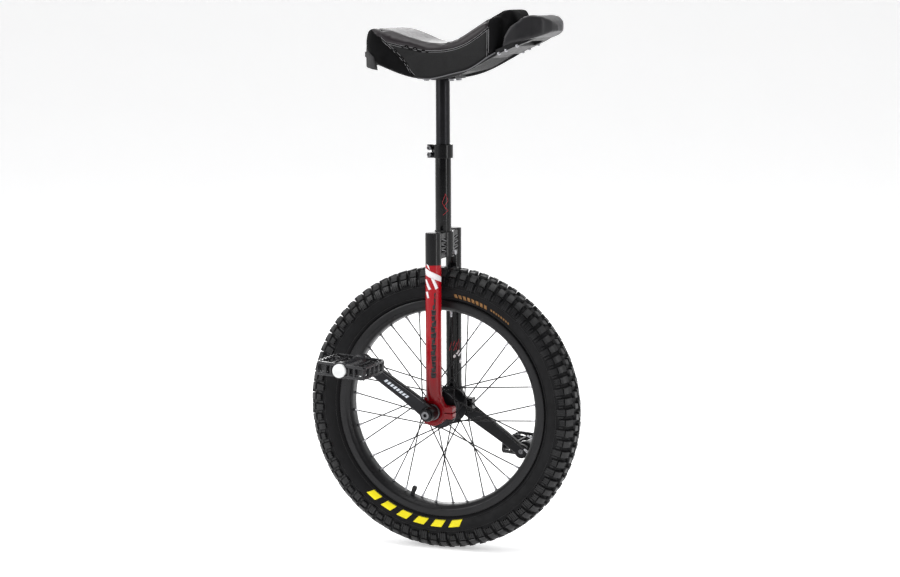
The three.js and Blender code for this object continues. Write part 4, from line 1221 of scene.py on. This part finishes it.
def copy_node(node, name):
    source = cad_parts[node]
    mesh = source.data.copy()
    mesh.transform(source.matrix_world)
    mesh.materials.clear()
    return new_object(name, mesh)


def soft_copy(node, name, voxel, rounds):
    """The node's shape remade as an even, rounded skin."""
    made = copy_node(node, name)
    modify(made, "REMESH", mode="VOXEL", voxel_size=voxel * MM)
    modify(made, "SMOOTH", factor=0.5, iterations=rounds)
    return settle(made)


def hard_copy(node, name, material, body, slot, width):
    """The node's shape with its flat faces joined and its edges broken."""
    made = copy_node(node, name)
    modify(made, "DECIMATE", decimate_type="DISSOLVE", angle_limit=math.radians(3))
    bevel(made, width, 3, 35)
    settle(made)
    made.data.materials.append(material)
    return attach(made, body, slot, node)


def inflate(made, pressure, most, pin_below):
    """Blows the closed skin up as cloth, held near its hem; no point moves further than most."""
    start = [v.co.copy() for v in made.data.vertices]
    pins = made.vertex_groups.new(name="hem")
    for vertex in made.data.vertices:
        if vertex.co.z / MM - AXLE_Z < pin_below(vertex.co.x / MM) + 5:
            pins.add([vertex.index], 1.0, "REPLACE")
    cloth = made.modifiers.new("cloth", "CLOTH")
    for name, value in CLOTH.items():
        setattr(cloth.settings, name, value)
    cloth.settings.uniform_pressure_force = pressure
    cloth.settings.effector_weights.gravity = 0
    cloth.settings.vertex_group_mass = "hem"
    cloth.point_cache.frame_start = 1
    cloth.point_cache.frame_end = CLOTH_FRAMES
    for number in range(1, CLOTH_FRAMES + 1):
        bpy.context.scene.frame_set(number)
    settle(made)
    made.vertex_groups.clear()
    bpy.context.scene.frame_set(1)
    for vertex, was in zip(made.data.vertices, start):
        moved = vertex.co - was
        if moved.length > most * MM:
            vertex.co = was + moved.normalized() * most * MM


def skin_tree(made):
    corners = [v.co.copy() for v in made.data.vertices]
    return BVHTree.FromPolygons(corners, [tuple(p.vertices) for p in made.data.polygons])


def lay_on(tree, points, lift=0.0):
    """Moves points in millimetres to the nearest place on the skin, raised by lift."""
    laid = []
    for point in points:
        spot, normal, _, _ = tree.find_nearest(Vector(point) * MM)
        laid.append((spot / MM + normal * lift, normal))
    return laid


def fine(points, step):
    """The polyline with points no more than step apart."""
    out = [Vector(points[0])]
    for a, b in zip(points, points[1:]):
        a, b = Vector(a), Vector(b)
        count = max(1, math.ceil((b - a).length / step))
        out += [a.lerp(b, k / count) for k in range(1, count + 1)]
    return out


def softened(points, rounds=6):
    points = [Vector(p) for p in points]
    for _ in range(rounds):
        points = [points[0]] + [(points[i - 1] + points[i] * 2 + points[i + 1]) / 4
                                for i in range(1, len(points) - 1)] + [points[-1]]
    return points


def tube_along(batch, points, radius, segments=8):
    """A round cord through the points."""
    rings = []
    for i, point in enumerate(points):
        along = (points[min(i + 1, len(points) - 1)] - points[max(i - 1, 0)]).normalized()
        side = along.cross(Vector((0.13, 0.21, 1))).normalized()
        up = side.cross(along)
        rings += [point + side * x + up * y for x, y in circle(radius, segments)]
    batch.add(rings, ring_faces(len(points), segments))


def stitching(batch, tree, laid, offset):
    """A line of thread beside a seam, offset across it and lying on the skin."""
    points = []
    for i, (spot, normal) in enumerate(laid):
        ahead = laid[min(i + 1, len(laid) - 1)][0]
        behind = laid[max(i - 1, 0)][0]
        across = (ahead - behind).normalized().cross(normal).normalized()
        points.append(spot + across * offset)
    points = [spot for spot, _ in lay_on(tree, softened(points, 40), 0.35)]
    tube_along(batch, softened(points, 6), 0.36, 6)


def seam_paths():
    """The seams of the cover, as points near the skin, each running over both sides."""
    rear = [(x, -y, z) for z, x, y in [(600, -26.7, 74), (610, -31, 76), (628, -41.4, 80), (646, -58.4, 84),
                                       (664, -80, 80), (683, -104, 52), (688, -112, 26)]]
    rear = rear + [(-114, 0, 690)] + [(x, -y, z) for x, y, z in reversed(rear)]
    nose = [(110, -66, 618), (NOSE_SEAM_X, -66, 650), (NOSE_SEAM_X, -62, 685), (NOSE_SEAM_X, -40, 700),
            (NOSE_SEAM_X, 0, 702)]
    nose = nose + [(x, -y, z) for x, y, z in reversed(nose[:-1])]
    return [rear, nose] + [[(x, sign * seat_half(x), z) for x, z in TOP_SEAM[1:]] for sign in (-1, 1)]


def seat_half(x):
    """Half the width of the seat's lower edge at x."""
    widths = [(-138, 20), (-134, 48), (-122, 70), (-104, 82), (-82, 85), (-50, 80), (-10, 68), (35, 62),
              (75, 63), (106, 65), (126, 60), (152, 42), (161, 32)]
    return through(widths, x)


def add_cushion():
    made = soft_copy("saddle_cushion", "saddle_cover", 3.6, 14)
    inflate(made, 4.0, 5.0, lambda x: through(SEAT_LOW, x))
    for vertex in made.data.vertices:
        x, z = vertex.co.x / MM, vertex.co.z / MM - AXLE_Z
        low_part = 1 - smoothstep(0, 20, z - through(SEAT_LOW, x))
        vertex.co.z += hem_shift(x) * MM * low_part
        vertex.co.x += 7.0 * MM * (1 - smoothstep(-146, -105, x)) * (1 - smoothstep(640, 685, z))
        vertex.co.x += 13.0 * MM * (1 - smoothstep(-150, -95, x)) * smoothstep(645, 690, z)
        top_part = smoothstep(650, 700, z)
        vertex.co.z -= 6.0 * smoothstep(138, 168, x) * MM * top_part ** 2
        vertex.co.x -= 5.0 * MM * smoothstep(140, 166, x) * top_part
    tree = skin_tree(made)
    paths = []
    for path in seam_paths():
        lifted = [(x, y, z + AXLE_Z) for x, y, z in path]
        paths.append(softened(fine(lifted, 3.0), 5))
    dense = [spot * MM for path in paths for spot, _ in lay_on(tree, fine(path, 1.0))]
    near = KDTree(len(dense))
    for i, spot in enumerate(dense):
        near.insert(spot, i)
    near.balance()
    modify(made, "SUBSURF", levels=1, render_levels=1)
    settle(made)
    normals = [n.vector.copy() for n in made.data.vertex_normals]
    for vertex, normal in zip(made.data.vertices, normals):
        away = near.find(vertex.co)[2] / MM
        vertex.co -= normal * SEAM_DEPTH * MM * math.exp(-(away / SEAM_WIDTH) ** 2)
    for material in (TOP_LEATHER, SIDE_WEAVE, BLACK_SUEDE):
        made.data.materials.append(material)
    for polygon in made.data.polygons:
        x, z = polygon.center.x / MM, polygon.center.z / MM - AXLE_Z
        if x > NOSE_SEAM_X or x < through(ARC_SEAM, z):
            polygon.material_index = 2
        elif z < through(TOP_SEAM, x):
            polygon.material_index = 1
    made.data.shade_smooth()
    attach(made, "saddle", "seat_cover", "saddle_cushion")

    tree = skin_tree(made)
    cord, thread = Batch(), Batch()
    for path in paths:
        laid = lay_on(tree, fine(path, 1.5), 0.1)
        spots = softened([spot for spot, _ in laid], 2)
        tube_along(cord, spots, 1.1)
        for offset in (-1.7, 1.7):
            stitching(thread, tree, lay_on(tree, fine(path, 1.5)), offset)
    cord.make("saddle_seam_cords", BLACK_SUEDE, "saddle", slot="seat_cover", sharp=60)
    thread.make("saddle_seam_threads", THREAD, "saddle", slot="seat_cover", sharp=60)


def add_seat_base():
    low_x, high_x = low("saddle_base").x, high("saddle_base").x
    stations = 60
    rings = []
    for k in range(stations + 1):
        x = low_x + (high_x - low_x) * (0.5 - 0.5 * math.cos(math.pi * k / stations))
        width = seat_half(x) - 0.3 - 3.6 * (1 - smoothstep(-10, 60, x))
        lift = 13.0 * smoothstep(10, 115, x)
        base = through(SEAT_LOW, x) - 9 + lift
        top = max(4, 9 + max(0, hem_shift(x)) - lift)
        half = [(width - 0.8, top), (width, top - 0.8), (width, 0.9), (width - 0.9, 0), (width - 4, 0),
                (width - 4, 5)]
        section = half + [(-y, z) for y, z in reversed(half)]
        rings += [(x, y, base + z + AXLE_Z) for y, z in section]
    piece("saddle_base_tray", rings, ring_faces(stations + 1, 12), BLACK_PLASTIC, "saddle", ("saddle_base",),
          "black_plastic", sharp=40)
    piping = Batch()
    for sign in (-1, 1):
        line = [Vector((x, sign * (seat_half(x) + 0.3), through(SEAT_LOW, x) + 0.9 + AXLE_Z + hem_shift(x)))
                for x in (-20 + 143 * k / 70 for k in range(71))]
        tube_along(piping, line, 1.1)
    piping.make("saddle_piping", PIPING, "saddle", slot="seat_cover", sharp=60)


def add_grip():
    made = soft_copy("handle_grip", "handle_grip_cover", 2.6, 7)
    made.data.materials.append(GRIP_LEATHER)
    for vertex in made.data.vertices:
        x, z = vertex.co.x / MM, vertex.co.z / MM - AXLE_Z
        low_part = 1 - smoothstep(2, 26, z - through(SEAT_LOW, x))
        vertex.co.z += (15.0 - 20.0 * smoothstep(125, 215, x)) * MM * low_part
        vertex.co.z += 14.0 * MM * (1 - smoothstep(132, 168, x)) * (1 - low_part)
        vertex.co.z -= 3.0 * MM * smoothstep(185, 222, x) * (1 - low_part)
        vertex.co.x += 9.0 * MM * (1 - smoothstep(118, 160, x))
    modify(made, "SUBSURF", levels=1, render_levels=1)
    settle(made)
    attach(made, "saddle", "grip_cover", "handle_grip")


def add_saddle_parts():
    bumper = soft_copy("rear_bumper", "rear_bumper_moulded", 2.0, 7)
    for vertex in bumper.data.vertices:
        vertex.co.x += 8.0 * MM * (1 - smoothstep(-146, -100, vertex.co.x / MM))
    bumper.data.shade_smooth()
    bumper.data.materials.append(BUMPER_PLASTIC)
    attach(bumper, "saddle", "black_plastic", "rear_bumper")
    hard_copy("saddle_plate", "saddle_plate_steel", BLACK_METAL, "saddle", "black_metal", 0.8)
    bracket = hard_copy("handle_bracket", "handle_bracket_moulded", BLACK_PLASTIC, "saddle",
                        "black_plastic", 0.8)
    for vertex in bracket.data.vertices:
        forward = smoothstep(120, 215, vertex.co.x / MM)
        vertex.co.x -= 9.0 * MM * forward
        vertex.co.y *= 1 - 0.16 * forward
        vertex.co.z += (14.0 - 12.0 * forward) * MM
    heads = Batch()
    tree = skin_tree(bracket)
    for sign in SIDES.values():
        beside = [(x, sign * 75, z + AXLE_Z) for x, z in ((132, 641), (146, 646), (168, 655.5))]
        for spot, _ in lay_on(tree, beside):
            heads.lathe([(0, -2), (2.6, -1.7), (2.9, 0), (2.6, 1.7), (0, 2)], Matrix.Translation(spot), 16)
    heads.make("handle_screw_heads", STEEL, "saddle", slot="steel", sharp=50)
    for number in range(1, 5):
        hard_copy(f"saddle_bolt_{number}", f"saddle_bolt_{number}_steel", STEEL, "saddle", "steel", 0.5)


# Everything

for add in (add_camera, add_studio, add_tyre, add_tyre_marks, add_rim, add_spokes, add_hub, add_valve):
    add()
for side_name in SIDES:
    for add in (add_leg, add_holder, add_crank, add_pedal):
        add(side_name)
for add in (add_crank_marks_and_highlight, add_crown, add_seat_tube, add_clamp, add_seatpost, add_leg_marks, add_tube_marks,
            add_cushion, add_seat_base, add_grip, add_saddle_parts):
    add()
